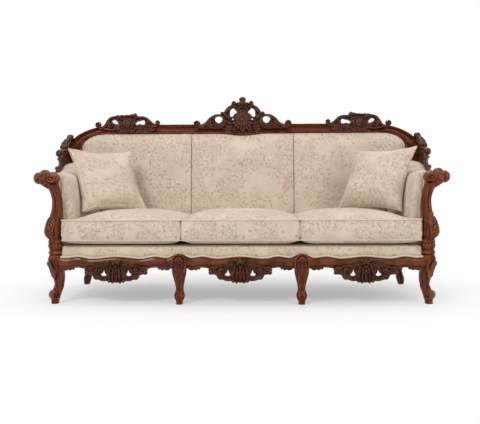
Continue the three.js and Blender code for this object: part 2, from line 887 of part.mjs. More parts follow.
// A box cushion. Its right side steps in behind the ear, where it has one.
function seatCushion(left, right, earRight) {
  const columns = 11;
  const sideRows = [0, 0.06];
  const earShare = (earDepth - cushionFront) / (cushionBack - cushionFront);
  const stepShare = (armFront - clearance - cushionFront) / (cushionBack - cushionFront);
  const later = range(8).map((i) => mix(stepShare, 1, eased((i + 1) / 8)));
  const rowShares = [...sideRows, earShare, stepShare, ...later];
  const rows = rowShares.length - 1;
  const place = (i, j, z) => {
    const depthShare = rowShares[j];
    const edge = depthShare <= earShare ? earRight : right;
    return new THREE.Vector3(mix(left, edge, eased(i / columns)), mix(cushionFront, cushionBack, depthShare), z);
  };
  const puff = (i, j) => dome(eased(i / columns), 3) * dome(rowShares[j], 3);
  const belly = lowerWelt - deckTop - cushionClearance;
  const sag = (i, j) => dome(eased(i / columns), 8) * dome(rowShares[j], 8);
  const top = (i, j) => place(i, j, upperWelt + cushionCrown * puff(i, j));
  const bottom = (i, j) => place(i, j, lowerWelt - belly * sag(i, j));
  const middle = (i, j) => {
    const point = place(i, j, (lowerWelt + upperWelt) / 2);
    if (j === 0) point.y -= cushionBulge;
    return point;
  };
  return padBetween(columns, rows, top, bottom, middle);
}

// The sewn border under the cushions, wider in front of the arms.
function seatDeck() {
  const wide = cornerX - postWidth / 2 - padClearance;
  const narrow = armInner - padClearance;
  const front = lipThickness + clearance;
  const back = seatFrameDepth - sideRailThickness;
  const levels = [
    [railTop + springWire + cushionClearance, deckRound / 2],
    [lipTop, 0],
    [deckTop - deckRound, 0],
    [deckTop, deckRound],
  ];
  const rings = levels.map(([z, inset]) => {
    const half = [
      [wide - inset, front + inset],
      [wide - inset, earDepth - inset],
      [narrow - inset, earDepth + deckRound / 2 - inset],
      [narrow - inset, back - inset],
    ];
    const outline = [...half, ...half.map(([x, y]) => [-x, y]).reverse()];
    return outline.map(([x, y]) => new THREE.Vector3(x, y, z));
  });
  return loft(rings);
}

// One tight panel of the back, in the plane of the back frame.
function backPad(fromCentre) {
  const columns = 10;
  const topEdge = backTop - padClearance;
  const breakShare = (armBreak - padBottom) / (topEdge - padBottom);
  const upperShares = [0.15, 0.32, 0.5, 0.66, 0.78, 0.86, 0.92, 0.96, 0.985, 1];
  const rowShares = [0, breakShare / 3, breakShare, ...upperShares.map((share) => mix(breakShare, 1, share))];
  const rows = rowShares.length - 1;
  const shares = (i, j) => [eased(i / columns), rowShares[j]];
  const place = (i, j, y) => {
    const [across, up] = shares(i, j);
    const nominal = mix(padBottom, topEdge, up);
    const left = fromCentre ? -backSeam + clearance : backSeam + clearance;
    const wall = Math.min(sideLine(nominal) - clearance, openingHalfWidth(nominal + padClearance) - padClearance);
    const right = fromCentre ? backSeam - clearance : wall;
    const x = mix(left, right, across);
    const dip = fromCentre ? crestDipAt(x) + padClearance : 0;
    return new THREE.Vector3(x, y, mix(padBottom, topEdge - dip, up));
  };
  const front = (i, j) => {
    const [across, up] = shares(i, j);
    const puff = dome(across, 3) * dome(up, 3);
    return place(i, j, -padEdgeProud - padCrown * puff);
  };
  const back = (i, j) => place(i, j, padSeat);
  return padBetween(columns, rows, front, back);
}

// Arms. The section runs from a narrow front to a flared rear end.

function armOuterTop(share) {
  return mix(armFrontTopOuter, armRearTopOuter, Math.sin(share * fullTurn / 4));
}

const armRiseShares = [[0, 0], [0.35, 0.02], [0.6, 0.35], [0.85, 0.9], [1, 1]];

function armTopAt(share) {
  return mix(armTop, armRearTop, valueAt(armRiseShares, share));
}

function armSection(share, grow) {
  const top = armTopAt(share) + grow;
  const shoulder = top - armRollHeight;
  const rearInner = sideLine(shoulder) + clearance;
  const innerTop = mix(armFrontTopInner, rearInner, share) - grow;
  const inner = armInner + clearance - grow;
  const outerTop = armOuterTop(share) + grow;
  const under = top - armRollHeight - armRollLip - 2 * grow;
  const bottom = legHeight + clearance - grow;
  const roll = range(7).map((i) => {
    const angle = fullTurn / 2 - (i / 6) * fullTurn / 2;
    return [mix(innerTop, outerTop, 0.5 + 0.5 * Math.cos(angle)), shoulder + armRollHeight * Math.sin(angle)];
  });
  return [
    [inner, bottom],
    [inner, armBreak],
    ...roll,
    [outerTop, under],
    [outerTop - armRollLip, under],
    [armOuterBottom + grow, bottom],
  ];
}

// Y at a share of the arm's length: the front is upright and the rear leans with the back.
function armDepth(share, z) {
  return mix(armFront, backFront(z) - clearance, share);
}

const rollStart = 2;
const rollInnerPoints = 3;
const armStationShares = [0, 0.02, 0.15, 0.3, 0.45, 0.6, 0.75, 0.88, 0.94, 1];

function armPad(grow) {
  const rings = armStationShares.map((station) => {
    const share = Math.min(1, station / armStationShares.at(-2));
    const outline = armSection(share, grow);
    const inset = station === 0 ? armEdgeRound : 0;
    const end = station === 0 ? -grow : station === 1 ? grow : 0;
    return outline.map(([x, z], i) => {
      const drawn = i < rollStart + rollInnerPoints ? x + inset : x;
      const level = i >= rollStart && i < outline.length - rollInnerPoints ? z - inset : z;
      return new THREE.Vector3(drawn, armDepth(station, z) + end, level);
    });
  });
  return loft(rings);
}

// The first station lies inside the post, which then cuts the rail to length.
const armRailStationShares = [-0.05, 0.15, 0.3, 0.45, 0.6, 0.75, 0.94, 1];

function armRail(grow) {
  const half = armRailSize / 2 + grow;
  const rings = armRailStationShares.map((station) => {
    const share = Math.max(0, Math.min(1, station / armStationShares.at(-2)));
    const x = armOuterTop(share) - mix(armRailInset, armRailRearInset, share);
    const z = armTopAt(share) - armRailDrop;
    const corners = [[-half, -half], [half, -half], [half, half], [-half, half]];
    const end = station === 1 ? grow * 2 : station < 0 ? -2 * grow : 0;
    return corners.map(([dx, dz]) => new THREE.Vector3(x + dx, armDepth(station, z + dz) + end, z + dz));
  });
  return loft(rings);
}

function armOutside() {
  const stations = [-0.03, ...armStationShares];
  const rings = stations.map((station) => {
    const share = Math.max(0, Math.min(1, station / armStationShares.at(-2)));
    const section = armSection(share, 0);
    const low = section.at(-1);
    const high = section.at(-2);
    const gap = clearance;
    const corners = [
      [low[0] + gap, low[1]],
      [low[0] + gap + armPanelThickness, low[1]],
      [high[0] + gap + armPanelThickness, high[1] - gap],
      [high[0] + gap, high[1] - gap],
    ];
    return corners.map(([x, z]) => new THREE.Vector3(x, armDepth(station, z), z));
  });
  return cut(loft(rings), armPost(clearance), armScroll(clearance));
}

// Wings: a carved slab that tapers from the top rail down to a tip on the arm.
const wingShares = [
  [0, 1],
  [0.1, 0.97],
  [0.22, 0.78],
  [0.36, 0.6],
  [0.5, 0.5],
  [0.66, 0.34],
  [0.8, 0.16],
  [0.92, 0.06],
  [1, 0.02],
];

function wingPoint(share, z) {
  const rear = backFront(z) - mouldingDepth - clearance;
  return mix(rear, wingTip, share);
}

function wing() {
  const length = backFront(armRearTop) - armFront;
  const rings = wingShares.map(([share, rise]) => {
    const y = wingPoint(share, armRearTop);
    const arm = Math.min(1, (y - armFront) / length / armStationShares.at(-2));
    const low = armTopAt(arm) - wingSunk;
    const high = armTopAt(arm) + clearance + rise * (wingTop - armRearTop);
    const half = wingThickness / 2 * mix(1, 0.45, share);
    const x = armOuterTop(arm) + wingProud - wingThickness / 2;
    const corners = [
      [x - half, low],
      [x + half, low],
      [x + half, mix(low, high, 0.8)],
      [x + half * 0.5, high],
      [x - half * 0.5, high],
      [x - half, mix(low, high, 0.8)],
    ];
    return corners.map(([px, pz]) => new THREE.Vector3(px, wingPoint(share, pz), pz));
  });
  const roll = new THREE.CylinderGeometry(wingRollRadius, wingRollRadius, wingThickness, 14);
  roll.rotateZ(fullTurn / 4);
  const rollX = armOuterTop(1) + wingProud - wingThickness / 2;
  roll.translate(rollX, backFront(wingTop) - mouldingDepth - clearance - wingRollRadius, wingTop - wingRollRadius / 2);
  return cut(join(loft(rings), roll), armPad(clearance));
}

// Carved ornament. Each piece is placed by shares of its half width and its height.

// A tapering band, flat behind and rounded in front, along a curve in X and Z.
function band(path, widthShares, front, back, steps) {
  const curve = new THREE.SplineCurve(path);
  const rings = range(steps + 1).map((i) => {
    const share = i / steps;
    const centre = curve.getPoint(share);
    const along = curve.getTangent(share);
    const half = scrollBandWidth / 2 * valueAt(widthShares, share);
    const across = new THREE.Vector2(-along.y, along.x);
    const crown = mix(back, front, Math.min(1, 0.4 + 0.6 * half * 2 / scrollBandWidth));
    const section = [[-1, back], [-0.6, crown], [0.6, crown], [1, back]];
    return section.map(([side, depth]) => new THREE.Vector3(
      centre.x + across.x * half * side, depth, centre.y + across.y * half * side));
  });
  return loft(rings);
}

// A round boss with a domed face.
function boss(centre, radius, front, back) {
  const sizes = [[back, 1], [front, 0.7]];
  const sides = 8;
  const rings = sizes.map(([y, size]) => range(sides).map((i) => {
    const angle = (i / sides) * fullTurn;
    return new THREE.Vector3(centre.x + radius * size * Math.cos(angle), y, centre.y + radius * size * Math.sin(angle));
  }));
  return loft(rings);
}

// A round shell with a scalloped edge.
function shell(centre, radius, lobes, front, back) {
  const sizes = [[back, 1], [mix(back, front, 0.5), 1], [front, 0.62]];
  const sides = lobes * 2;
  const rings = sizes.map(([y, size]) => range(sides).map((i) => {
    const angle = (i / sides) * fullTurn;
    const reach = radius * size * (0.9 + 0.1 * Math.abs(Math.cos(lobes * angle / 2)));
    return new THREE.Vector3(centre.x + reach * Math.cos(angle), y, centre.y + reach * Math.sin(angle));
  }));
  return loft(rings);
}

function ornament(rowsOf, place, front, back) {
  const bands = rowsOf.bands.map(({ path, widths, steps }) => band(path.map(place), widths, front, back, steps));
  const bosses = rowsOf.bosses.map(([u, v, size, raise]) => (
    boss(place([u, v]), size * scrollBandWidth, front - raise * scrollBandWidth, back)));
  const body = plate(rowsOf.body.map(place), mix(back, front, 0.7), back);
  return [...bands, ...bosses, body];
}

const taperShares = [[0, 0.9], [0.3, 1.05], [0.6, 1.1], [1, 0.45]];
const leafTaperShares = [[0, 0.35], [0.35, 1], [0.7, 0.8], [1, 0.15]];
const evenTaperShares = [[0, 0.7], [1, 0.7]];

// Right half of the centre carving. The body runs from the middle line round and back to it.
const crestCentreShares = {
  bands: [
    {
      path: [[0.92, 0.317], [0.84, 0.235], [0.726, 0.362], [0.626, 0.506], [0.51, 0.553], [0.4, 0.45],
        [0.385, 0.306], [0.468, 0.225], [0.56, 0.27]],
      widths: taperShares,
      steps: 10,
    },
    {
      path: [[0.46, 0.55], [0.385, 0.585], [0.31, 0.706], [0.223, 0.816], [0.14, 0.84], [0.1, 0.78]],
      widths: taperShares,
      steps: 6,
    },
    { path: [[0.43, 0.56], [0.35, 0.48], [0.29, 0.4], [0.2, 0.33]], widths: leafTaperShares, steps: 3 },
    { path: [[0.42, 0.2], [0.33, 0.27], [0.25, 0.3], [0.15, 0.3]], widths: leafTaperShares, steps: 3 },
    { path: [[0.44, 0.1], [0.34, 0.14], [0.24, 0.16], [0.12, 0.1]], widths: leafTaperShares, steps: 3 },
  ],
  bosses: [
    [0.92, 0.317, 1, 0.2],
    [0.165, 0.83, 0.7, 0.3],
    [0.145, 0.115, 0.75, 0.3],
    [0.41, 0.57, 0.55, 0.2],
    [0.56, 0.285, 0.4, 0.1],
  ],
  body: [
    [-0.01, 0.01],
    [0.12, 0.02],
    [0.24, 0.08],
    [0.38, 0.16],
    [0.42, 0.26],
    [0.3, 0.33],
    [0.235, 0.38],
    [0.19, 0.46],
    [0.13, 0.56],
    [0.075, 0.66],
    [0.08, 0.74],
    [0.16, 0.79],
    [0.13, 0.86],
    [0.075, 0.85],
    [0.08, 0.93],
    [0.04, 0.985],
    [-0.01, 1],
  ],
};

const finialPathShares = [[0, 0.7], [0, 0.8], [0, 0.9], [0, 1]];
const finialWidthShares = [[0, 0.5], [0.45, 2], [0.75, 1.6], [1, 0.6]];

function crestCentre() {
  const place = ([u, v]) => new THREE.Vector2(u * crestCentreHalfWidth, crestCentreBase + v * crestCentreHeight);
  const half = ornament(crestCentreShares, place, -carvingFront, carvingBack);
  const middle = place([0, 0.38]);
  const rosette = shell(middle, crestCentreHeight * rosetteShare, 8, -carvingFront * rosetteProudShare, carvingBack);
  const eye = boss(middle, crestCentreHeight * rosetteEyeShare, -carvingFront * eyeProudShare, carvingBack);
  const finial = band(finialPathShares.map(place), finialWidthShares, -carvingFront, carvingBack, 5);
  const whole = join(...half, ...half.map(mirrored), rosette, eye, finial);
  return mainBody(cut(whole, crestRail(clearance)));
}

// Right-hand side carving, with its outer end at the share of one.
const crestSideShares = {
  bands: [
    {
      path: [[0.887, 0.34], [0.78, 0.26], [0.7, 0.4], [0.61, 0.62], [0.45, 0.76], [0.28, 0.8], [0.1, 0.72]],
      widths: taperShares,
      steps: 6,
    },
    {
      path: [[-0.93, 0.45], [-0.8, 0.36], [-0.68, 0.5], [-0.55, 0.68], [-0.4, 0.75], [-0.22, 0.8]],
      widths: taperShares,
      steps: 6,
    },
    { path: [[0.62, 0.3], [0.45, 0.28], [0.3, 0.4], [0.15, 0.5]], widths: leafTaperShares, steps: 3 },
    { path: [[-0.62, 0.3], [-0.47, 0.26], [-0.34, 0.38], [-0.2, 0.46]], widths: leafTaperShares, steps: 3 },
    { path: [[0.3, 0.02], [0.2, 0.12], [0.05, 0.2]], widths: leafTaperShares, steps: 3 },
    { path: [[-0.3, 0.02], [-0.22, 0.12], [-0.05, 0.2]], widths: leafTaperShares, steps: 3 },
  ],
  bosses: [
    [0.887, 0.34, 1, 0.2],
    [-0.93, 0.45, 0.7, 0.2],
    [-0.217, 0.82, 0.8, 0.3],
    [0, 0.62, 1.1, 0.4],
    [0, 0.25, 0.8, 0.3],
  ],
  body: [
    [-0.3, 0.03],
    [0, 0.02],
    [0.3, 0.03],
    [0.42, 0.3],
    [0.22, 0.42],
    [0.2, 0.6],
    [0.28, 0.76],
    [0.12, 0.86],
    [-0.05, 0.84],
    [-0.28, 0.86],
    [-0.24, 0.6],
    [-0.24, 0.42],
    [-0.42, 0.3],
  ],
};

function crestSide() {
  const place = ([u, v]) => new THREE.Vector2(crestSideCentre + u * crestSideHalfWidth, backTop + v * crestSideHeight);
  const pieces = ornament(crestSideShares, place, -carvingFront, carvingBack);
  return mainBody(cut(join(...pieces), crestRail(clearance)));
}

// Right half of the carving under the front rail.
const apronShares = {
  bands: [
    {
      path: [[1, 0.44], [0.94, 0.36], [0.8, 0.3], [0.62, 0.19], [0.4, 0.15], [0.19, 0.1]],
      widths: taperShares,
      steps: 6,
    },
    { path: [[1, 0.52], [0.8, 0.5], [0.55, 0.54], [0.3, 0.46]], widths: evenTaperShares, steps: 4 },
    { path: [[0.55, 0.62], [0.42, 0.6], [0.3, 0.66], [0.2, 0.78]], widths: leafTaperShares, steps: 3 },
    { path: [[0.3, 0.16], [0.24, 0.3], [0.14, 0.36]], widths: leafTaperShares, steps: 3 },
  ],
  bosses: [
    [1, 0.44, 0.45, 0.1],
    [0.27, 0.88, 0.7, 0.25],
  ],
  body: [
    [-0.01, 0],
    [0.1, 0.02],
    [0.2, 0.1],
    [0.17, 0.2],
    [0.2, 0.32],
    [0.3, 0.44],
    [0.42, 0.56],
    [0.4, 0.76],
    [0.43, 0.88],
    [0.36, 0.97],
    [0.2, 1],
    [-0.01, 0.93],
  ],
};

function apron(centre) {
  const place = ([u, v]) => new THREE.Vector2(u * apronHalfWidth, apronBase + v * apronHeight);
  const back = -clearance;
  const front = back - apronThickness;
  const half = ornament(apronShares, place, front, back);
  const proud = front * rosetteProudShare;
  const drop = shell(place([0, hangingShellShare]), apronHeight * hangingShellShare, 5, proud, back);
  const heart = boss(place([0, 0.62]), apronHeight * heartShare, proud, back);
  const whole = join(...half, ...half.map(mirrored), drop, heart);
  whole.translate(centre, 0, 0);
  return whole;
}

// Scatter cushions: two domed faces that meet at a sewn edge, with drawn-in sides.
function scatterCushion() {
  const columns = 10;
  const place = (i, j, side) => {
    const u = 2 * eased(i / columns) - 1;
    const v = 2 * eased(j / columns) - 1;
    const x = u * (1 - scatterDrawShare * (1 - v * v) * Math.abs(u)) * scatterSize / 2;
    const y = v * (1 - scatterDrawShare * (1 - u * u) * Math.abs(v)) * scatterSize / 2;
    const puff = ((1 - u * u) * (1 - v * v)) ** 0.55;
    return new THREE.Vector3(x, y, side * mix(scatterEdge, scatterThickness / 2, puff));
  };
  return padBetween(columns, columns, (i, j) => place(i, j, 1), (i, j) => place(i, j, -1));
}

// The height of a mesh over a place in plan: of all the facets there, the one that pick chooses.
function heightOver(geometry, place, pick) {
  const position = geometry.getAttribute("position");
  const index = geometry.index.array;
  const corner = (i) => new THREE.Vector3().fromBufferAttribute(position, index[i]);
  const twiceArea = (p, q, r) => (q.x - p.x) * (r.y - p.y) - (r.x - p.x) * (q.y - p.y);
  const heights = range(index.length / 3).flatMap((i) => {
    const [a, b, c] = [corner(3 * i), corner(3 * i + 1), corner(3 * i + 2)];
    const whole = twiceArea(a, b, c);
    const shares = [twiceArea(place, b, c), twiceArea(a, place, c), twiceArea(a, b, place)].map((part) => part / whole);
    return shares.every((share) => share >= 0) ? [a.z * shares[0] + b.z * shares[1] + c.z * shares[2]] : [];
  });
  return pick(...heights);
}

function cornersOf(geometry) {
  const position = geometry.getAttribute("position");
  return range(position.count).map((i) => new THREE.Vector3().fromBufferAttribute(position, i));
}

// Leans the cushion into the corner and lowers it on to the seat cushion under it.
function placedScatter(seat) {
  const geometry = scatterCushion();
  geometry.rotateX(fullTurn / 4 - THREE.MathUtils.degToRad(scatterLean));
  geometry.rotateZ(-THREE.MathUtils.degToRad(scatterYaw));
  geometry.translate(scatterX, scatterY, armRearTop);
  const above = cornersOf(geometry).map((point) => point.z - heightOver(seat, point, Math.max));
  const below = cornersOf(seat).map((point) => heightOver(geometry, point, Math.min) - point.z);
  geometry.translate(0, 0, cushionClearance - Math.min(...above, ...below));
  return geometry;
}

function addSeatFrame() {
  addPair("front_corner_leg", cornerLeg(), wood);
  addPair("front_middle_leg", middleLeg(0), wood);
  addPair("rear_leg", rearLeg(), wood);
  add("front_seat_rail", frontRail(), wood);
  addPair("side_rail", sideRail(), wood);
  const rearHalf = cornerX - rearBlockWidth / 2 - clearance;
  const rearFront = seatFrameDepth - sideRailThickness;
  add("back_seat_rail", block(-rearHalf, rearHalf, rearFront, seatFrameDepth, railBottom, railTop), frameWood);
  const brace = block(middleX - braceWidth / 2, middleX + braceWidth / 2, innerRailY,
    rearFront - clearance, railBottom + lipThickness, railTop - clearance);
  addPair("seat_brace", brace, frameWood);
  addPair("corner_block_front", cornerBlock(false), frameWood);
  addPair("corner_block_rear", cornerBlock(true), frameWood);
  add("dust_cover", dustCloth(), blackCloth);
  const bays = 3;
  const bayWidth = 2 * seatHalfWidth / bays;
  range(bays * springsPerBay).forEach((i) => {
    const x = -seatHalfWidth + bayWidth * (i + 0.5) / springsPerBay;
    add(`seat_spring_${i + 1}`, zigzagSpring(x), springSteel);
  });
}

function addArms() {
  addPair("arm_post", armPost(0), wood);
  addPair("arm_scroll", armScroll(0), wood);
  addPair("arm_rail", cut(armRail(0), armPost(clearance), armScroll(clearance)), frameWood);
  addPair("arm_pad", cut(armPad(0), armRail(clearance), armScroll(clearance)), fabric);
  addPair("arm_outside", armOutside(), fabric);
  addPair("shoulder", wing(), wood);
}

function addBack() {
  addPair("back_stile", raked(backStile()), wood);
  add("crest_rail", raked(crestRail(0)), wood);
  add("back_lower_rail", raked(backLowerRail()), frameWood);
  add("back_outside", raked(backOutside()), fabric);
  add("back_pad_centre", raked(backPad(true)), fabric);
  addPair("back_pad", raked(backPad(false)), fabric);
  add("crest_carving_centre", raked(crestCentre()), carvedWood);
  addPair("crest_carving", raked(crestSide()), carvedWood);
}

function addSeat() {
  add("seat_deck", seatDeck(), fabric);
  const split = seatSplit - clearance;
  add("seat_cushion_centre", seatCushion(-split, split, split), fabric);
  const side = seatCushion(seatSplit + clearance, seatHalfWidth, earHalfWidth);
  addPair("seat_cushion", side, fabric);
  addPair("scatter_cushion", placedScatter(side), fabric);
}

function addAprons() {
  add("apron_carving_centre", apron(0), carvedWood);
  addPair("apron_carving", apron((cornerX + middleX) / 2), carvedWood);
}

addSeatFrame();
addArms();
addBack();
addSeat();
addAprons();

// The origin lies on the floor, under the middle of the sofa's box.
const box = new THREE.Box3().setFromObject(sofa);
const centreY = (box.min.y + box.max.y) / 2;
sofa.position.set(-(box.min.x + box.max.x) / 2, -centreY, -box.min.z);
const whole = new THREE.Group();
whole.add(sofa);

export default whole;
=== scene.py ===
import json
import math

import bmesh
import bpy
import numpy as np
from mathutils import Matrix, Vector, noise


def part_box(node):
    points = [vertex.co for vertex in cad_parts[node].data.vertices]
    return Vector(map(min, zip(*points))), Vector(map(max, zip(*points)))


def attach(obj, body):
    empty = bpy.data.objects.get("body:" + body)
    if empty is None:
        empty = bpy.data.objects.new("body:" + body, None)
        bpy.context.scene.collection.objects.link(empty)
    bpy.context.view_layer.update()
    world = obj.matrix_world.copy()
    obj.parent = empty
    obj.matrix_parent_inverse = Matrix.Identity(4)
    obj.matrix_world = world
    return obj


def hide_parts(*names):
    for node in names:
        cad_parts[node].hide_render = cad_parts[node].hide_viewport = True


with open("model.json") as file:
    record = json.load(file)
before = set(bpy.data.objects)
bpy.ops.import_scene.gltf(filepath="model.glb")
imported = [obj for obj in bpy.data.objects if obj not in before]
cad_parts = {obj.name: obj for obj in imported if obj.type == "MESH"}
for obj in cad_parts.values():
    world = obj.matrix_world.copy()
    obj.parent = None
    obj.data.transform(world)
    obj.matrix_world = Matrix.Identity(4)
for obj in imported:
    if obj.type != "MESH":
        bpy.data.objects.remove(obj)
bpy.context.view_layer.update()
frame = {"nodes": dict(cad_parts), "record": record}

# A carved three-seat sofa. Places are written in millimetres, with X to the right as one
# faces the sofa, Y to the back from the front face of the seat rail, and Z up from the floor.
# metres() turns them into the frame's own coordinates.

MM = 0.001
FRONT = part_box("front_seat_rail")[0].y
BODY = "sofa_frame"
WHITE = (1, 1, 1, 1)


def metres(points):
    """Places in millimetres as an array in the frame's metres."""
    places = np.array(points, float) * MM
    places[..., 1] += FRONT
    return places


def in_scene(name, data):
    """A new object in the scene, with this data."""
    made = bpy.data.objects.new(name, data)
    bpy.context.scene.collection.objects.link(made)
    return made


# Node trees

class Tree:
    """The node tree of a material or a world, with short calls that return output sockets."""

    def __init__(self, owner):
        owner.use_nodes = True
        self.owner = owner
        self.nodes = owner.node_tree.nodes
        self.links = owner.node_tree.links
        self.shader = self.nodes.get("Principled BSDF")

    def set(self, socket, value):
        if isinstance(value, bpy.types.NodeSocket):
            self.links.new(value, socket)
        else:
            socket.default_value = value

    def node(self, kind, inputs=None, **settings):
        made = self.nodes.new("ShaderNode" + kind)
        for key, value in settings.items():
            setattr(made, key, value)
        for key, value in (inputs or {}).items():
            self.set(made.inputs[key], value)
        return made

    def math(self, operation, *values):
        """Works on one value or two, or on more of them in turn."""
        made = self.node("Math", dict(enumerate(values[:2])), operation=operation)
        rest = values[2:]
        return self.math(operation, made.outputs[0], *rest) if rest else made.outputs[0]

    def times(self, *values):
        return self.math("MULTIPLY", *values)

    def less(self, value, taken):
        return self.math("SUBTRACT", value, taken)

    def vector(self, operation, *values, output=0):
        made = self.node("VectorMath", dict(enumerate(values)), operation=operation)
        return made.outputs[output]

    def ramp(self, value, low, high, to_low=0.0, to_high=1.0):
        inputs = {"Value": value, "From Min": low, "From Max": high,
                  "To Min": to_low, "To Max": to_high}
        return self.node("MapRange", inputs, interpolation_type="SMOOTHSTEP").outputs["Result"]

    def layered(self, tint, *layers):
        """A colour with further ones over it, given as pairs of share and colour."""
        for share, over in layers:
            inputs = {"Factor": share, "A": tint, "B": over}
            tint = self.node("Mix", inputs, data_type="RGBA").outputs["Result"]
        return tint

    def noise(self, place, scale, detail=2.0, rough=0.5, distortion=0.0, dimensions="3D"):
        inputs = {"Vector": place, "Scale": scale, "Detail": detail, "Roughness": rough,
                  "Distortion": distortion}
        return self.node("TexNoise", inputs, noise_dimensions=dimensions).outputs["Fac"]

    def bump(self, height, distance, strength):
        inputs = {"Height": height, "Distance": distance, "Strength": strength}
        return self.node("Bump", inputs).outputs["Normal"]

    def object_place(self):
        return self.node("TexCoord").outputs["Object"]

    def look(self, inputs):
        """Sets the shader's inputs and returns the finished material."""
        for key, value in inputs.items():
            self.set(self.shader.inputs[key], value)
        return self.owner


def material_tree(name):
    return Tree(bpy.data.materials.new(name))


# Camera, light and floor

CAMERA_PLACE = (77.8, -3089.4, 631)
CAMERA_TURNS = ((1.449, "Z"), (87.213, "X"), (-0.256, "Z"))
CAMERA_LENS = 45
SENSOR_WIDTH = 36
FAR_CLIP = 100
LAMPS = (("key", (-2.2, -3.4, 3.6), (0, 0, 0.5), (1.5, 1.1), 88),
         ("fill", (2.8, -2.8, 2.4), (0, 0, 0.6), (2.4, 2.0), 44),
         ("top", (0, 0.4, 3.8), (0, 0, 0.4), (3.4, 2.2), 44),
         ("rear", (0.4, 3.4, 2.6), (0, 0, 0.7), (3.0, 1.6), 38))
AMBIENT_COLOR = (1.0, 0.985, 0.97, 1)
AMBIENT_STRENGTH = 0.46
FLOOR_SIZE = 60
FLOOR_COLOR = (0.9, 0.9, 0.9, 1)
FLOOR_OVAL = (0.62, 1, 1)
FLOOR_FADE = (0.38, 1.15)
FLOOR_GLOW = 0.4


def add_camera():
    camera = in_scene("camera", bpy.data.cameras.new("camera"))
    camera.location = metres(CAMERA_PLACE)
    yaw, tilt, roll = [Matrix.Rotation(math.radians(angle), 3, axis)
                       for angle, axis in CAMERA_TURNS]
    camera.rotation_euler = (yaw @ tilt @ roll).to_euler()
    camera.data.lens = CAMERA_LENS
    camera.data.sensor_width = SENSOR_WIDTH
    camera.data.clip_end = FAR_CLIP
    bpy.context.scene.camera = camera


def add_lamp(name, place, aim, size, power):
    lamp = bpy.data.lights.new(name, "AREA")
    lamp.shape = "RECTANGLE"
    lamp.size, lamp.size_y = size
    lamp.energy = power
    holder = in_scene(name, lamp)
    holder.location = place
    holder.rotation_euler = (Vector(aim) - Vector(place)).to_track_quat("-Z", "Y").to_euler()


def seen_directly(tree):
    """One for what the camera sees, also in a gloss or through glass."""
    rays = tree.node("LightPath").outputs
    return tree.math("MAXIMUM", rays["Is Camera Ray"], rays["Is Glossy Ray"],
                     rays["Is Transmission Ray"])


def add_world():
    world = bpy.data.worlds.new("studio")
    bpy.context.scene.world = world
    tree = Tree(world)
    tree.nodes.clear()
    ambient = tree.node("Background", {"Color": AMBIENT_COLOR, "Strength": AMBIENT_STRENGTH})
    white = tree.node("Background", {"Color": WHITE, "Strength": 1.0})
    mixed = tree.node("MixShader", {0: seen_directly(tree), 1: ambient.outputs[0],
                                    2: white.outputs[0]})
    tree.node("OutputWorld", {0: mixed.outputs[0]})


def add_floor():
    """A pale floor that keeps the sofa's shadow and melts into the white background."""
    bpy.ops.mesh.primitive_plane_add(size=FLOOR_SIZE, location=(0, 0, 0))
    floor = bpy.context.object
    floor.name = "floor"
    tree = material_tree("floor_white")
    tree.look({"Base Color": FLOOR_COLOR, "Roughness": 0.8, "Specular IOR Level": 0.1})
    oval = tree.vector("MULTIPLY", tree.object_place(), FLOOR_OVAL)
    away = tree.vector("LENGTH", oval, output="Value")
    share = tree.times(tree.ramp(away, *FLOOR_FADE, FLOOR_GLOW), seen_directly(tree))
    white = tree.node("Emission", {"Color": WHITE, "Strength": 1})
    melted = tree.node("MixShader", {0: share, 1: tree.shader.outputs[0], 2: white.outputs[0]})
    tree.set(tree.nodes["Material Output"].inputs[0], melted.outputs[0])
    floor.data.materials.append(tree.owner)


def add_studio():
    add_camera()
    add_world()
    for lamp in LAMPS:
        add_lamp(*lamp)
    add_floor()
    bpy.context.scene.view_settings.view_transform = "Standard"


# Wood, steel and dust cloth

def color(red, green, blue):
    """A colour written as it looks on screen, from 0 to 255, as linear values."""
    parts = [c / 255 for c in (red, green, blue)]
    return tuple(c / 12.92 if c < 0.04045 else ((c + 0.055) / 1.055) ** 2.4
                 for c in parts) + (1,)


# Dark, middle and light tones of three shades of polished wood. The front rail's are a darker copy
# of the first, as painted shade on the rail.
POLISHED = (color(68, 22, 4), color(104, 42, 14), color(144, 68, 28))
# Painted shade: the front rail's tones are the polished wood made darker.
FRONT_RAIL_SHADED = (color(54, 18, 4), color(82, 34, 14), color(112, 54, 26))
CARVED = (color(42, 16, 6), color(68, 28, 12), color(104, 50, 26))
# Stretch of the grain for wood that runs along X, Y or Z
ALONG_X = (4, 70, 70)
ALONG_Y = (70, 4, 70)
ALONG_Z = (70, 70, 4)
# Share of the dark tone left in the hollows: painted shade.
RECESS_SHADE = 0.16
# How much paler the ridges get: wear and a painted highlight.
RIDGE_WEAR_AND_HIGHLIGHT = 1.45
VARNISH = {"Coat Weight": 0.2, "Coat Roughness": 0.09, "Specular IOR Level": 0.22,
           "Specular Tint": (1.0, 0.74, 0.52, 1)}


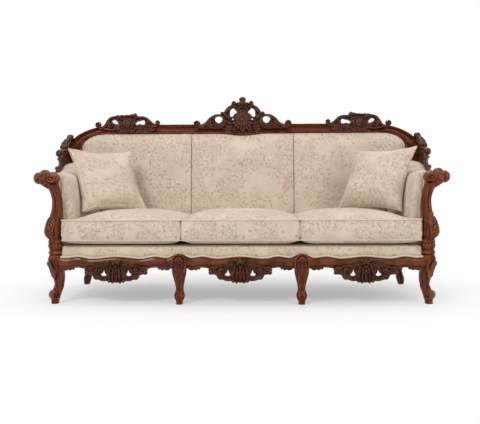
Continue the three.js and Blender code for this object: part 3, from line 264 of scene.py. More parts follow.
def wood_material(name, tones, grain, shine=0.3):
    """Polished wood, with painted shade where the attribute cavity says hollow and paler ridges
    from wear and a painted highlight.
    """
    dark, middle, light = tones
    tree = material_tree(name)
    place = tree.object_place()
    stretched = tree.vector("MULTIPLY", place, grain)
    figure = tree.noise(stretched, 1.0, 8, 0.62, 0.6)
    pores = tree.noise(tree.vector("MULTIPLY", stretched, (7, 7, 7)), 1.0, 2, 0.6)
    cavity = tree.node("Attribute", attribute_name="cavity").outputs["Fac"]
    # Paler ridges, broken up by noise: wear and a painted highlight.
    worn_and_highlit = tree.times(tree.ramp(cavity, -0.08, -0.5, 0.0, 0.55),
                        tree.ramp(tree.noise(place, 23, 3), 0.35, 0.65))
    tint = tree.layered(
        dark,
        (tree.ramp(figure, 0.36, 0.64), middle),
        (tree.times(tree.ramp(figure, 0.5, 0.74), 0.7), light),
        (tree.ramp(tree.noise(place, 3.1, 3, 0.5), 0.3, 0.7, 0.0, 0.35), dark),
        (tree.ramp(pores, 0.3, 0.42, 0.45, 0.0), dark),
        # Painted shade in the hollows that the cavity attribute finds.
        (tree.ramp(cavity, 0.04, 0.5, 0.0, 0.9), tuple(c * RECESS_SHADE for c in dark[:3]) + (1,)),
        (worn_and_highlit, tuple(min(1, c * RIDGE_WEAR_AND_HIGHLIGHT) for c in light[:3]) + (1,)))
    rough = tree.math("ADD", tree.ramp(figure, 0.3, 0.7, shine, shine + 0.1),
                      tree.ramp(cavity, 0.0, 0.5, 0.0, 0.3),
                      tree.ramp(tree.noise(place, 11, 4), 0.35, 0.7, -0.03, 0.08))
    height = tree.math("ADD", tree.times(pores, 0.3),
                       tree.times(tree.noise(place, 95, 2, 0.5), 0.7))
    return tree.look({"Base Color": tint, "Roughness": rough,
                      "Normal": tree.bump(height, 0.0009, 0.5), **VARNISH})


def plain_wood_material(name, dark, light):
    """Sawn beech, as inside a seat."""
    tree = material_tree(name)
    stretched = tree.vector("MULTIPLY", tree.object_place(), (5, 90, 90))
    figure = tree.noise(stretched, 1.0, 6, 0.6, 0.4)
    return tree.look({"Base Color": tree.layered(dark, (tree.ramp(figure, 0.35, 0.68), light)),
                      "Roughness": tree.ramp(figure, 0.3, 0.7, 0.6, 0.78),
                      "Normal": tree.bump(figure, 0.0006, 0.5)})


def steel_material():
    tree = material_tree("spring_steel")
    spots = tree.noise(tree.object_place(), 60, 4, 0.6)
    rust = (tree.ramp(spots, 0.4, 0.7), (0.26, 0.24, 0.22, 1))
    return tree.look({"Base Color": tree.layered((0.42, 0.43, 0.45, 1), rust),
                      "Roughness": tree.ramp(spots, 0.3, 0.7, 0.32, 0.55), "Metallic": 1})


def cambric_material():
    """Thin black cloth under the seat."""
    tree = material_tree("black_cambric")
    close = tree.vector("MULTIPLY", tree.object_place(), (900, 900, 900))
    threads = tree.noise(close, 1.0, 1)
    paler = (tree.ramp(threads, 0.3, 0.7), (0.035, 0.034, 0.033, 1))
    return tree.look({"Base Color": tree.layered((0.012, 0.012, 0.012, 1), paler),
                      "Roughness": 0.95, "Normal": tree.bump(threads, 0.0002, 0.6)})


# The woven pattern, in metres of cloth

FLOWER_SPACING = 0.185
LEAF_SPACING = 0.028
FLOWER_RADIUS = 0.034
LEAF_LENGTH = 0.015
LEAF_WIDTH = 0.0066
THREAD_PITCH = 0.0011
THREAD_SCALE = 900
CLOTH_GROUND = color(219, 204, 185)
CLOTH_SOFT = color(208, 192, 172)
CLOTH_GRAIN = color(150, 134, 116)
PATTERN_TONES = (color(164, 145, 120), color(180, 150, 131))
BLOOM_TONES = (color(196, 180, 156), color(206, 178, 160))
GLINTS = color(236, 226, 211)


def cells(tree, place, spacing, randomness):
    """Scattered motifs: the way from the nearest one's centre, and two random numbers."""
    made = tree.node("TexVoronoi", {"Vector": place, "Scale": 1 / spacing,
                                    "Randomness": randomness}, voronoi_dimensions="2D")
    way = tree.vector("SUBTRACT", place, made.outputs["Position"])
    parts = tree.node("SeparateColor", {"Color": made.outputs["Color"]}).outputs
    return way, parts[0], parts[1]


def turned(tree, way, angle_share):
    """The way turned by a share of a full turn, as X and Y."""
    angle = tree.times(angle_share, 2 * math.pi)
    made = tree.node("VectorRotate", {"Vector": way, "Angle": angle}, rotation_type="Z_AXIS")
    parts = tree.node("SeparateXYZ", {"Vector": made.outputs[0]}).outputs
    return parts[0], parts[1]


def leaf_mask(tree, place, size, edge):
    """Pointed leaves that lie every way, one in each cell, and a random number for each."""
    way, turn, chance = cells(tree, place, LEAF_SPACING * size[0], 0.85)
    x, y = turned(tree, way, turn)
    along = tree.math("ABSOLUTE", tree.math("DIVIDE", x, LEAF_LENGTH * size[1]))
    beside = tree.math("ABSOLUTE", y)
    across = tree.math("DIVIDE", beside, LEAF_WIDTH * size[1])
    belly = tree.less(1.0, tree.math("POWER", along, 1.6))
    body = tree.ramp(tree.less(belly, across), 0.0, edge)
    vein = tree.ramp(beside, 0.0003, 0.0009, 0.45, 1.0)
    return tree.times(body, vein), chance


def flower_mask(tree, place):
    """Open blossoms with an outer and an inner round of petals and a seeded eye."""
    way, turn, size = cells(tree, place, FLOWER_SPACING, 0.75)
    x, y = turned(tree, way, turn)
    reach = tree.math("SQRT", tree.math("ADD", tree.times(x, x), tree.times(y, y)))
    angle = tree.math("ARCTAN2", y, x)
    radius = tree.times(FLOWER_RADIUS, tree.ramp(size, 0.0, 1.0, 0.7, 1.15))

    def petal_round(count, inner, share, shift):
        phase = tree.math("ADD", tree.times(angle, count / 2), shift)
        wave = tree.math("ABSOLUTE", tree.math("COSINE", phase))
        swell = tree.math("ADD", inner, tree.times(wave, 1 - inner))
        edge = tree.times(radius, tree.times(share, swell))
        depth = tree.math("DIVIDE", tree.less(edge, reach), radius)
        inside = tree.ramp(depth, 0.0, 0.05)
        outline = tree.less(inside, tree.times(tree.ramp(depth, 0.1, 0.2), 0.55))
        return tree.times(outline, tree.ramp(wave, 0.0, 0.22, 0.0, 1.0)), inside

    outer, outer_inside = petal_round(5, 0.66, 1.0, 0.0)
    inner, inner_inside = petal_round(5, 0.6, 0.56, 0.9)
    eye = tree.ramp(reach, 0.0045, 0.006, 1.0, 0.0)
    outer = tree.times(outer, tree.less(1.0, inner_inside))
    return tree.math("MAXIMUM", outer, inner, eye), outer_inside, reach


def woven(tree, place, tint, cloud):
    """Sprays of flowers, leaves and twigs over a ground colour, and where they lie."""
    flowers, flower_inside, away = flower_mask(tree, place)
    near = tree.ramp(away, FLOWER_SPACING * 0.2, FLOWER_SPACING * 0.62, 1.0, 0.0)
    patches = cloud(5.2, 0.44, 0.6, detail=2)
    sprays = tree.math("MAXIMUM", near, tree.times(patches, 0.85))
    clouds = tree.times(tree.ramp(sprays, 0.1, 0.9), cloud(42, 0.36, 0.66, detail=2, rough=0.6))
    bloom = tree.layered(BLOOM_TONES[0], (cloud(7.1, 0.42, 0.6), BLOOM_TONES[1]))
    outside = tree.less(1.0, flower_inside)
    large, chance = leaf_mask(tree, place, (1, 1), 0.18)
    kept = tree.ramp(tree.less(sprays, chance), -0.02, 0.02)
    large = tree.times(large, kept, outside)
    beside = tree.vector("ADD", place, (3.1, 1.7, 0))
    small, chance = leaf_mask(tree, beside, (0.55, 0.5), 0.3)
    kept = tree.ramp(tree.less(tree.times(sprays, 0.75), chance), -0.02, 0.02)
    small = tree.times(small, kept, outside)
    middle = tree.less(tree.noise(place, 8.5, 1, 0.4, 0.6, "2D"), 0.5)
    line = tree.ramp(tree.math("ABSOLUTE", middle), 0.004, 0.012, 1.0, 0.0)
    twigs = tree.times(line, tree.ramp(sprays, 0.1, 0.4), cloud(17, 0.4, 0.52), outside, 0.8)
    pattern = tree.math("MAXIMUM", flowers, large, small, twigs)
    tone = tree.layered(PATTERN_TONES[0], (cloud(5.3, 0.4, 0.62), PATTERN_TONES[1]))
    shades = cloud(30, 0.3, 0.7, 0.4, 0.85, detail=2)
    raised = tree.times(flower_inside, tree.less(1.0, pattern))
    beads = tree.times(cloud(150, 0.56, 0.66), sprays, 0.45)
    tint = tree.layered(tint, (tree.times(clouds, 0.62), bloom),
                        (tree.times(pattern, shades), tone),
                        (tree.times(raised, 0.5), GLINTS), (beads, GLINTS))
    return tint, pattern


def cloth_material(name, patterned):
    """Cream jacquard with tonal flowers, or plain. Its UV map is in metres of cloth."""
    tree = material_tree(name)
    place = tree.node("UVMap", uv_map="cloth").outputs[0]

    def cloud(scale, low, high, to_low=0.0, to_high=1.0, detail=1, rough=0.5):
        return tree.ramp(tree.noise(place, scale, detail, rough, 0, "2D"),
                         low, high, to_low, to_high)

    tint = tree.layered(CLOTH_GROUND, (cloud(9, 0.3, 0.7, detail=2), CLOTH_SOFT))
    rough = 0.8
    grain = tree.noise(place, THREAD_SCALE, 1, 0.5, 0, "2D")
    axes = tree.node("SeparateXYZ", {"Vector": place}).outputs
    threads = [tree.math("SINE", tree.times(axis, 2 * math.pi / THREAD_PITCH))
               for axis in axes[:2]]
    height = tree.math("ADD", tree.times(*threads, 0.25), tree.times(grain, 0.5))
    if patterned:
        tint, pattern = woven(tree, place, tint, cloud)
        rough = tree.ramp(pattern, 0.0, 1.0, 0.78, 0.6)
        height = tree.math("ADD", height, tree.times(pattern, 0.9))
    tint = tree.layered(tint, (tree.ramp(grain, 0.3, 0.7, 0.0, 0.16), CLOTH_GRAIN))
    return tree.look({"Base Color": tint, "Roughness": rough,
                      "Normal": tree.bump(height, 0.0004, 0.6), "Sheen Weight": 0.2,
                      "Sheen Roughness": 0.5, "Specular IOR Level": 0.3})


rail_wood = wood_material("polished_wood_along", POLISHED, ALONG_X)
post_wood = wood_material("polished_wood_upright", POLISHED, ALONG_Z)
side_wood = wood_material("polished_wood_sides", POLISHED, ALONG_Y)
front_wood_shaded = wood_material("polished_wood_front_shaded", FRONT_RAIL_SHADED, ALONG_X)
carved_wood = wood_material("carved_wood", CARVED, ALONG_X, 0.26)
frame_wood = plain_wood_material("sawn_beech", color(176, 138, 98), color(206, 172, 130))
# Painted shade: dark beech for the back seat rail, which stands in the shade under the seat.
shaded_beech_wood = plain_wood_material("shaded_beech", color(70, 30, 14), color(98, 48, 24))
floral_cloth = cloth_material("floral_jacquard", True)
plain_cloth = cloth_material("plain_piping", False)
steel = steel_material()
cambric = cambric_material()


# Meshes from points

def spline(rows, count):
    """A smooth line through rows of numbers, with an even number of steps by length."""
    rows = np.array(rows, float)
    gaps = np.linalg.norm(np.diff(rows, axis=0), axis=1)
    gaps = np.maximum(gaps, 1e-9)
    knots = np.concatenate([[0], np.cumsum(gaps)])
    slopes = np.zeros_like(rows)
    middle = (knots[2:] - knots[:-2])[:, None]
    slopes[1:-1] = (rows[2:] - rows[:-2]) / middle
    slopes[0] = (rows[1] - rows[0]) / gaps[0]
    slopes[-1] = (rows[-1] - rows[-2]) / gaps[-1]
    return hermite(knots, rows, slopes, np.linspace(0, knots[-1], count))


def hermite(knots, rows, slopes, places):
    index = np.clip(np.searchsorted(knots, places, side="right") - 1, 0, len(knots) - 2)
    span = (knots[index + 1] - knots[index])[:, None]
    t = ((places - knots[index])[:, None]) / span
    a, b = rows[index], rows[index + 1]
    sa, sb = slopes[index] * span, slopes[index + 1] * span
    return ((2 * t ** 3 - 3 * t ** 2 + 1) * a + (t ** 3 - 2 * t ** 2 + t) * sa
            + (3 * t ** 2 - 2 * t ** 3) * b + (t ** 3 - t ** 2) * sb)


def table(rows, places):
    """Values from a table that starts with the place, along a smooth line without overshoot."""
    rows = np.array(rows, float)
    knots, values = rows[:, 0], rows[:, 1:]
    gaps = np.diff(knots)[:, None]
    rates = np.diff(values, axis=0) / gaps
    slopes = np.zeros_like(values)
    same = rates[1:] * rates[:-1] > 0
    both = rates[1:] + rates[:-1]
    both = np.where(np.abs(both) < 1e-12, 1, both)
    slopes[1:-1] = np.where(same, 2 * rates[1:] * rates[:-1] / both, 0)
    places = np.clip(np.array(places, float), knots[0], knots[-1])
    return hermite(knots, values, slopes, places)


def unit(vectors):
    length = np.linalg.norm(vectors, axis=-1, keepdims=True)
    return vectors / np.maximum(length, 1e-9)


def loft(rings):
    """A closed shape through rings, with a fan over each end."""
    rings = np.array(rings, float)
    count, sides = rings.shape[:2]
    points = [tuple(p) for ring in rings for p in ring]
    faces = []
    for i in range(count - 1):
        low, high = i * sides, (i + 1) * sides
        for j in range(sides):
            k = (j + 1) % sides
            faces.append((low + j, low + k, high + k, high + j))
    for row, turn in ((0, -1), (count - 1, 1)):
        points.append(tuple(rings[row].mean(axis=0)))
        top = len(points) - 1
        for j in range(sides):
            k = (j + 1) % sides
            faces.append((row * sides + j, row * sides + k, top)[::turn])
    return points, faces


def merge(shapes):
    points, faces = [], []
    for shape_points, shape_faces in shapes:
        base = len(points)
        points.extend(shape_points)
        faces.extend(tuple(i + base for i in face) for face in shape_faces)
    return points, faces


def face_outward(mesh):
    """Turns every face of a closed mesh outward."""
    sculpt = bmesh.new()
    sculpt.from_mesh(mesh)
    bmesh.ops.recalc_face_normals(sculpt, faces=sculpt.faces)
    sculpt.to_mesh(mesh)
    sculpt.free()
    mesh.update()


def shade_smooth(mesh):
    mesh.polygons.foreach_set("use_smooth", [True] * len(mesh.polygons))


def mesh_object(name, points, faces):
    mesh = bpy.data.meshes.new(name)
    mesh.from_pydata(metres(points).tolist(), [], faces)
    mesh.validate()
    face_outward(mesh)
    shade_smooth(mesh)
    return in_scene(name, mesh)


def applied(made):
    """Replaces the mesh with what its modifiers make of it."""
    graph = bpy.context.evaluated_depsgraph_get()
    mesh = bpy.data.meshes.new_from_object(made.evaluated_get(graph))
    old = made.data
    made.modifiers.clear()
    made.data = mesh
    bpy.data.meshes.remove(old)
    mesh.name = made.name
    return made


def vectors_of(items, key):
    """One vector of each item of a mesh, as rows of an array."""
    values = np.zeros(len(items) * 3)
    items.foreach_get(key, values)
    return values.reshape(-1, 3)


def places_of(mesh):
    return vectors_of(mesh.vertices, "co")


def set_places(mesh, places):
    mesh.vertices.foreach_set("co", places.astype(np.float32).ravel())
    mesh.update()


def edges_of(mesh):
    pairs = np.zeros(len(mesh.edges) * 2, np.int64)
    mesh.edges.foreach_get("vertices", pairs)
    return pairs.reshape(-1, 2)


def averaged(values, pairs, count, rounds, share=0.5):
    """Each point's value drawn towards the mean of its neighbours, a few times over."""
    both = np.concatenate([pairs, pairs[:, ::-1]])
    degree = np.maximum(np.bincount(both[:, 0], minlength=count), 1)[:, None]
    values = values.reshape(count, -1)
    for _ in range(rounds):
        sums = np.stack([np.bincount(both[:, 0], weights=column[both[:, 1]], minlength=count)
                         for column in values.T], axis=1)
        values = values + share * (sums / degree - values)
    return values


CAVITY_ROUNDS = 14
CAVITY_SCALE = 0.0012
WIDER = 4
NEAR_SHARE = 0.6
WIDE_SHARE = 0.7


def shade_cavities(made, rounds=CAVITY_ROUNDS, scale=CAVITY_SCALE):
    """Keeps how deep each point lies under its surroundings, for the painted shade in the wood's
    recesses and its paler ridges.
    """
    mesh = made.data
    places = places_of(mesh)
    pairs = edges_of(mesh)
    normals = vectors_of(mesh.vertex_normals, "vector")
    smooth = averaged(places, pairs, len(places), rounds)
    near = ((smooth - places) * normals).sum(axis=1) / scale
    smoother = averaged(smooth, pairs, len(places), rounds * WIDER)
    wide = ((smoother - places) * normals).sum(axis=1) / (scale * WIDER)
    depth = np.clip(near * NEAR_SHARE + wide * WIDE_SHARE, -1, 1)
    layer = mesh.attributes.new("cavity", "FLOAT", "POINT")
    layer.data.foreach_set("value", depth.astype(np.float32))


def remeshed(made, voxel):
    remesh = made.modifiers.new("fuse", "REMESH")
    remesh.mode = "VOXEL"
    remesh.voxel_size = voxel * MM
    remesh.use_smooth_shade = True
    return applied(made)


def pierce(made, holes):
    """Cuts holes through a closed body."""
    cutter = mesh_object("cutter", *merge(holes))
    cut = made.modifiers.new("pierce", "BOOLEAN")
    cut.operation = "DIFFERENCE"
    cut.solver = "MANIFOLD"
    cut.object = cutter
    applied(made)
    bpy.data.objects.remove(cutter)


VOXEL = 1.6
FAIR_ROUNDS = 2
FAIR_STEPS = (0.5, -0.3)


def fused(name, shapes, voxel=VOXEL, holes=()):
    """One carved body out of closed shapes that run into each other, with holes cut through."""
    made = remeshed(mesh_object(name, *merge(shapes)), voxel)
    if holes:
        pierce(made, holes)
        remeshed(made, voxel)
    mesh = made.data
    pairs = edges_of(mesh)
    places = places_of(mesh)
    for share in FAIR_STEPS * FAIR_ROUNDS:
        places = averaged(places, pairs, len(places), 1, share)
    set_places(mesh, places)
    shade_cavities(made)
    shade_smooth(mesh)
    return made


def finish_piece(made, material, nodes=(), body=BODY):
    made.data.materials.clear()
    made.data.materials.append(material)
    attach(made, body)
    if nodes:
        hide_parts(*nodes)
    return made


# Carved forms. Each is a closed shape that a piece fuses with its neighbours.

def round_angles(count):
    """Angles once round."""
    return [2 * math.pi * j / count for j in range(count)]


def facing(count, way=(0.0, -1.0, 0.0)):
    """The same way to face for each point of a line; forward where none is given."""
    return np.tile(way, (count, 1))


def tapered(count, rate=5):
    """Shares along a line that rise from 0 at both of its ends."""
    t = np.linspace(0, 1, count)
    return np.minimum(1, np.minimum(t, 1 - t) * rate) ** 0.6


def strip(points, normals, widths, rises, shape, across=13, sink=4.0):
    """A raised form along a line. shape(t, s) gives its height, from 0 to 1, at a share t of its
    length and at a place s across it, from -1 to 1."""
    points = np.array(points, float)
    normals = unit(np.array(normals, float))
    tangents = unit(np.gradient(points, axis=0))
    sides = unit(np.cross(tangents, normals))
    t = np.linspace(0, 1, len(points))
    s = -np.cos(np.linspace(0, np.pi, across))
    rings = []
    for i, share in enumerate(t):
        heights = np.array([shape(share, side) for side in s])
        top = (points[i] + np.outer(s * widths[i], sides[i])
               + np.outer(heights * rises[i], normals[i]))
        low = (points[i] + np.outer(s[::-4] * widths[i] * 0.85, sides[i]) - sink * normals[i])
        rings.append(np.concatenate([top, low]))
    return loft(rings)


def groove_section(depth):
    def shape(t, s):
        crown = max(0.0, 1 - abs(s) ** 2.6) ** 0.5
        return crown * (1 - depth * math.exp(-(s / 0.3) ** 2))
    return shape


def round_section(t, s):
    return max(0.0, 1 - s * s) ** 0.5


def leaf_section(lobes, ribs=0.28):
    """A leaf with a sunken midrib and raised veins that sweep outward to its lobes."""
    def shape(t, s):
        crown = max(0.0, 1 - abs(s) ** 2.2) ** 0.5
        veins = 0.5 + 0.5 * math.cos(2 * math.pi * (lobes * t - 1.1 * abs(s)))
        middle = math.exp(-(s / 0.16) ** 2)
        return crown * (1 - ribs + ribs * veins) * (1 - 0.45 * middle)
    return shape


def flat_path(rows, depth, count):
    """A smooth line through rows of (x, z), set in a plane at a depth, and the way it faces."""
    line = spline(rows, count)
    return np.stack([line[:, 0], np.full(count, depth), line[:, 1]], axis=1), facing(count)


LOBE_DEPTH = 0.25


def lobed(widths, lobes):
    """Widths with the notches between the lobes of a leaf."""
    t = np.linspace(0, 1, len(widths))
    notch = np.abs(np.sin(np.pi * lobes * t)) ** 0.7
    return widths * (1 - LOBE_DEPTH + LOBE_DEPTH * notch)


SCROLL_TAPER = ((0, 0.55), (0.25, 1), (0.6, 1), (1, 0.55))
EVEN_TAPER = ((0, 0.75), (0.4, 1), (1, 0.7))
BAND_STEP = 2.5
VOLUTE_STEP = 2.2


def band(rows, depth, width, rise, widths=EVEN_TAPER, groove=0.45, sink=8.0):
    """A grooved C or S scroll in a plane. widths is a table along its length."""
    rough = spline(rows, 40)
    length = np.linalg.norm(np.diff(rough, axis=0), axis=1).sum()
    count = max(8, int(length / BAND_STEP))
    points, normals = flat_path(rows, depth, count)
    shares = table(widths, np.linspace(0, 1, count))[:, 0]
    return strip(points, normals, width / 2 * shares, rise * (0.45 + 0.55 * shares),
                 groove_section(groove), 13, sink)


def leaf(rows, depth, width, rise, lobes=4, sink=8.0, tip=0.15, count=34):
    """An acanthus leaf in a plane, from its root to its tip."""
    points, normals = flat_path(rows, depth, count)
    swell = table([(0, 0.45), (0.35, 1), (0.7, 0.8), (1, tip)], np.linspace(0, 1, count))[:, 0]
    return strip(points, normals, lobed(width / 2 * swell, lobes), rise * (0.5 + 0.5 * swell),
                 leaf_section(lobes), 15, sink)


def volute(centre, radius, turns, start, way, depth, width, rise, sink=8.0):
    """A spiral scroll that winds in to a raised eye. way is 1 anticlockwise or -1 clockwise."""
    length = math.pi * radius * turns * 1.2
    count = max(20, int(length / VOLUTE_STEP))
    t = np.linspace(0, 1, count)
    angle = start + way * 2 * np.pi * turns * t
    reach = (radius - width / 2) * (1 - t) ** 0.85 + width * 0.32 * t
    points = np.stack([centre[0] + reach * np.cos(angle), depth - 0.35 * rise * t,
                       centre[1] + reach * np.sin(angle)], axis=1)
    spiral = strip(points, facing(count), width / 2 * (1 - 0.35 * t), np.full(count, rise),
                   groove_section(0.25), 11, sink)
    eye, disc = width * 0.42, radius * 0.86
    return [spiral,
            ball((centre[0], depth - 0.1 * rise, centre[1]), (eye, rise * 1.05, eye)),
            ball((centre[0], depth + 2, centre[1]), (disc, rise * 0.6, disc))]


BALL_ROWS = 14
BALL_SIDES = 28


def ball(centre, radii, ribs=0, rib_depth=0.0):
    """A ball or egg, with ribs round the upright axis where asked."""
    rings = []
    for i in range(1, BALL_ROWS):
        fall = math.pi * i / BALL_ROWS
        ring = []
        for angle in round_angles(BALL_SIDES):
            swell = 1 + rib_depth * math.cos(ribs * angle)
            ring.append((centre[0] + radii[0] * swell * math.sin(fall) * math.cos(angle),
                         centre[1] + radii[1] * swell * math.sin(fall) * math.sin(angle),
                         centre[2] - radii[2] * math.cos(fall)))
        rings.append(ring)
    return loft(rings)


PETAL_INNER = 0.12
PETAL_OVERLAP = 1.15


def petals(centre, radius, count, depth, rise, start=0.0, spread=2 * math.pi, sink=8.0):
    """A round or fan of domed petals, as in a shell or rosette."""
    shapes = []
    full = abs(spread - 2 * math.pi) < 1e-6
    steps = count if full else count - 1
    spacing = spread / steps
    t = np.linspace(0, 1, 18)
    reach = radius * (PETAL_INNER + (1 - PETAL_INNER) * t)
    end = np.sqrt(np.maximum(0.0, 1 - np.clip((t - 0.72) / 0.28, 0, 1) ** 2))
    widths = np.maximum(0.6, reach * math.tan(spacing / 2) * PETAL_OVERLAP * (0.15 + 0.85 * end))
    for i in range(count):
        angle = start + spread * i / steps
        points = np.stack([centre[0] + reach * math.cos(angle),
                           depth - rise * 0.35 * np.sin(np.pi * t * 0.9),
                           centre[1] + reach * math.sin(angle)], axis=1)
        shapes.append(strip(points, facing(len(t)), widths, rise * (0.35 + 0.65 * end),
                            round_section, 11, sink))
    return shapes


def rounded_outline(rows):
    """A closed outline with its corners cut off, twice over."""
    places = np.array(rows, float)
    for _ in range(2):
        ahead = np.roll(places, -1, axis=0)
        pairs = [0.75 * places + 0.25 * ahead, 0.25 * places + 0.75 * ahead]
        places = np.stack(pairs, axis=1).reshape(-1, 2)
    return places


def slab(rows, front, back):
    """A flat web between two depths, inside an outline of (x, z)."""
    outline = rounded_outline(rows)
    count = len(outline)
    points = [(x, front, z) for x, z in outline] + [(x, back, z) for x, z in outline]
    faces = [tuple(range(count)), tuple(range(2 * count - 1, count - 1, -1))]
    for i in range(count):
        j = (i + 1) % count
        faces.append((i, i + count, j + count, j))
    return points, faces


def round_hole(x, z, radius):
    return [(x + radius * math.cos(turn), z + radius * math.sin(turn))
            for turn in np.linspace(0, 2 * math.pi, 8, endpoint=False)]


def both_sides(rows):
    """Half of an outline, from its lower to its upper end on the middle, and its mirror image."""
    return list(rows) + [(-x, z) for x, z in rows[::-1] if x]


HOLE_REACH = 90


def on_both_sides(outlines):
    return outlines + [[(-x, z) for x, z in rows] for rows in outlines]


def holes_of(outlines):
    return [slab(rows, -HOLE_REACH, HOLE_REACH) for rows in outlines]


def reshaped(shapes, move):
    """The shapes with each point moved. move(x, y, z) gives its new place."""
    return [([move(*point) for point in points], faces) for points, faces in shapes]


def mirrored(shapes):
    """The shapes and their mirror images across the middle plane."""
    return shapes + [([(-x, y, z) for x, y, z in points], [face[::-1] for face in faces])
                     for points, faces in shapes]


def moved(shapes, x=0.0, y=0.0, z=0.0):
    return reshaped(shapes, lambda px, py, pz: (px + x, py + y, pz + z))


# Sizes that several pieces share

CORNER_X = 975
CORNER_Y = 32.3
MIDDLE_X = 318
REAR_Y = 630
LEG_HEIGHT = 243
RAIL_BOTTOM = 187
RAIL_TOP = 226
RAIL_THICKNESS = 34
LIP_TOP = 248
LIP_THICKNESS = 10
RAIL_WAVE = 20
BACK_PLANE = 618
BACK_RAKE = 0.13
BACK_TOP = 943
RAIL_FACE = 59
FRAME_THICKNESS = 38
CREST_DIP = 13
DIP_HALF_WIDTH = 150
BACK_HALF_WIDTH = 1018
CORNER_REACH = 149
CORNER_HEIGHT = 90
CREST_END = 830
STILE_TOP_WIDTH = 98
CREST_SPREAD = 81
POST_TOP = 617
ARM_FRONT = 84


def raked(shapes):
    """Leans shapes of the back. Their Y starts from the front plane of the back frame."""
    return reshaped(shapes, lambda x, y, z: (x, y + BACK_PLANE + BACK_RAKE * (z - RAIL_TOP), z))


# Carving in the middle of the top rail. Rows of x and z are for its right half.

CREST_WEB = (
    (0, 934), (40, 938), (84, 944), (112, 953), (124, 973), (160, 972), (206, 972), (245, 970),
    (275, 978), (285, 990), (262, 1001), (240, 1010), (206, 1043), (170, 1062), (146, 1064),
    (130, 1074), (116, 1072), (102, 1092), (86, 1110), (68, 1128), (40, 1131), (22, 1142),
    (0, 1150))
CREST_HOLES = (
    ((126, 1036), (136, 1048), (150, 1051), (168, 1047), (176, 1034), (170, 1020), (155, 1006),
     (141, 1010), (130, 1021)),
    ((34, 1078), (48, 1092), (54, 1103), (70, 1099), (80, 1082), (78, 1068), (81, 1050),
     (62, 1046), (56, 1061), (40, 1070)))
WEB_FRONT = -5
WEB_BACK = 20
RELIEF = -4


def bands(rows, depth=RELIEF):
    return [band(line, depth, width, rise) for width, rise, line in rows]


def leaves(rows, depth=RELIEF - 1):
    return [leaf(line, depth, width, rise, lobes) for width, rise, lobes, line in rows]


def crest_centre():
    half = bands((
        (23, 16, [(138, 1056), (168, 1055), (200, 1036), (232, 1002), (258, 984), (284, 980)]),
        (17, 15, [(140, 1057), (122, 1044), (113, 1020), (119, 995), (142, 982), (168, 988),
                  (184, 1004)]),
        (15, 11, [(126, 978), (160, 975), (200, 980), (235, 976), (264, 975)]),
        (24, 16, [(290, 1002), (284, 990), (268, 984), (246, 984)]),
        (22, 16, [(120, 1060), (105, 1080), (87, 1104), (62, 1120)]),
        (12, 18, [(38, 1078), (30, 1094), (14, 1105), (0, 1108)]),
        (9, 13, [(34, 1070), (22, 1086), (0, 1094)]),
    ))
    half += leaves((
        (32, 18, 4, [(238, 988), (216, 1008), (188, 1020)]),
        (24, 14, 3, [(226, 982), (204, 994), (180, 1000)]),
        (18, 14, 3, [(200, 1044), (184, 1046), (166, 1060)]),
        (20, 14, 3, [(112, 1066), (103, 1050), (92, 1032)]),
        (20, 16, 3, [(100, 1074), (90, 1092), (72, 1108)]),
        (28, 18, 3, [(72, 1124), (52, 1116), (34, 1104)]),
        (22, 16, 3, [(8, 1112), (24, 1126), (36, 1142)]),
        (24, 15, 3, [(62, 1002), (84, 1006), (108, 1022)]),
        (26, 16, 3, [(62, 986), (88, 984), (114, 994)]),
        (26, 15, 3, [(66, 970), (92, 966), (118, 974)]),
        (18, 13, 3, [(70, 952), (94, 950), (116, 958)]),
        (22, 14, 3, [(78, 1036), (92, 1044), (106, 1060)]),
        (16, 12, 3, [(24, 976), (36, 990), (52, 984)]),
    ))
    half += volute((287, 1006), 25, 1.25, -0.5 * math.pi, 1, RELIEF, 12, 17)
    half += volute((54, 1134), 17, 1.1, -0.3 * math.pi, 1, RELIEF - 2, 9, 15)
    half += volute((45, 961), 21, 1.3, 0.5 * math.pi, -1, RELIEF - 2, 9, 13)
    half += [ball((129, RELIEF - 4, 1070), (11, 12, 11)), ball((18, -8, 944), (9, 9, 9))]
    whole = mirrored(half)
    whole += petals((0, 1025), 67, 18, RELIEF - 1, 13)
    whole += petals((0, 1025), 46, 13, RELIEF - 9, 12, start=0.12)
    whole.append(ball((0, RELIEF - 13, 1024), (23, 13, 23), 9, 0.1))
    whole.append(leaf([(0, 986), (0, 966), (0, 938)], RELIEF - 3, 28, 14, 4))
    whole.append(ball((0, RELIEF - 5, 1134), (20, 20, 24), 6, 0.1))
    whole.append(ball((0, RELIEF - 3, 1157), (22, 19, 18), 10, 0.05))
    whole.append(slab(both_sides(CREST_WEB), WEB_FRONT, WEB_BACK))
    holes = on_both_sides([*CREST_HOLES, round_hole(61, 1032, 6), round_hole(12, 999, 5.5),
                           round_hole(207, 998, 3.5)])
    made = fused("crest_carving_middle", raked(whole), 1.65, raked(holes_of(holes)))
    finish_piece(made, carved_wood, ["crest_carving_centre"])


# Carvings over the side bays of the back. Rows are for the right one, from its centre outward.

SIDE_CREST_X = 726
SIDE_WEB = (
    (-186, 992), (-168, 1010), (-148, 1024), (-125, 1044), (-95, 1055), (-62, 1056), (-45, 1066),
    (-20, 1066), (5, 1064), (40, 1062), (66, 1062), (88, 1058), (108, 1050), (128, 1030),
    (146, 1000), (166, 992), (184, 990), (176, 976), (130, 970), (90, 966), (58, 950), (0, 944),
    (-50, 947), (-100, 949), (-150, 957), (-180, 972))
SIDE_HOLES = (
    ((106, 1029), (88, 1035), (70, 1024), (60, 1006), (76, 1004), (94, 1014)),
    ((-46, 1012), (-62, 1023), (-80, 1025), (-97, 1033), (-109, 1022), (-105, 1000), (-93, 996),
     (-80, 1007), (-68, 1004), (-56, 997)))


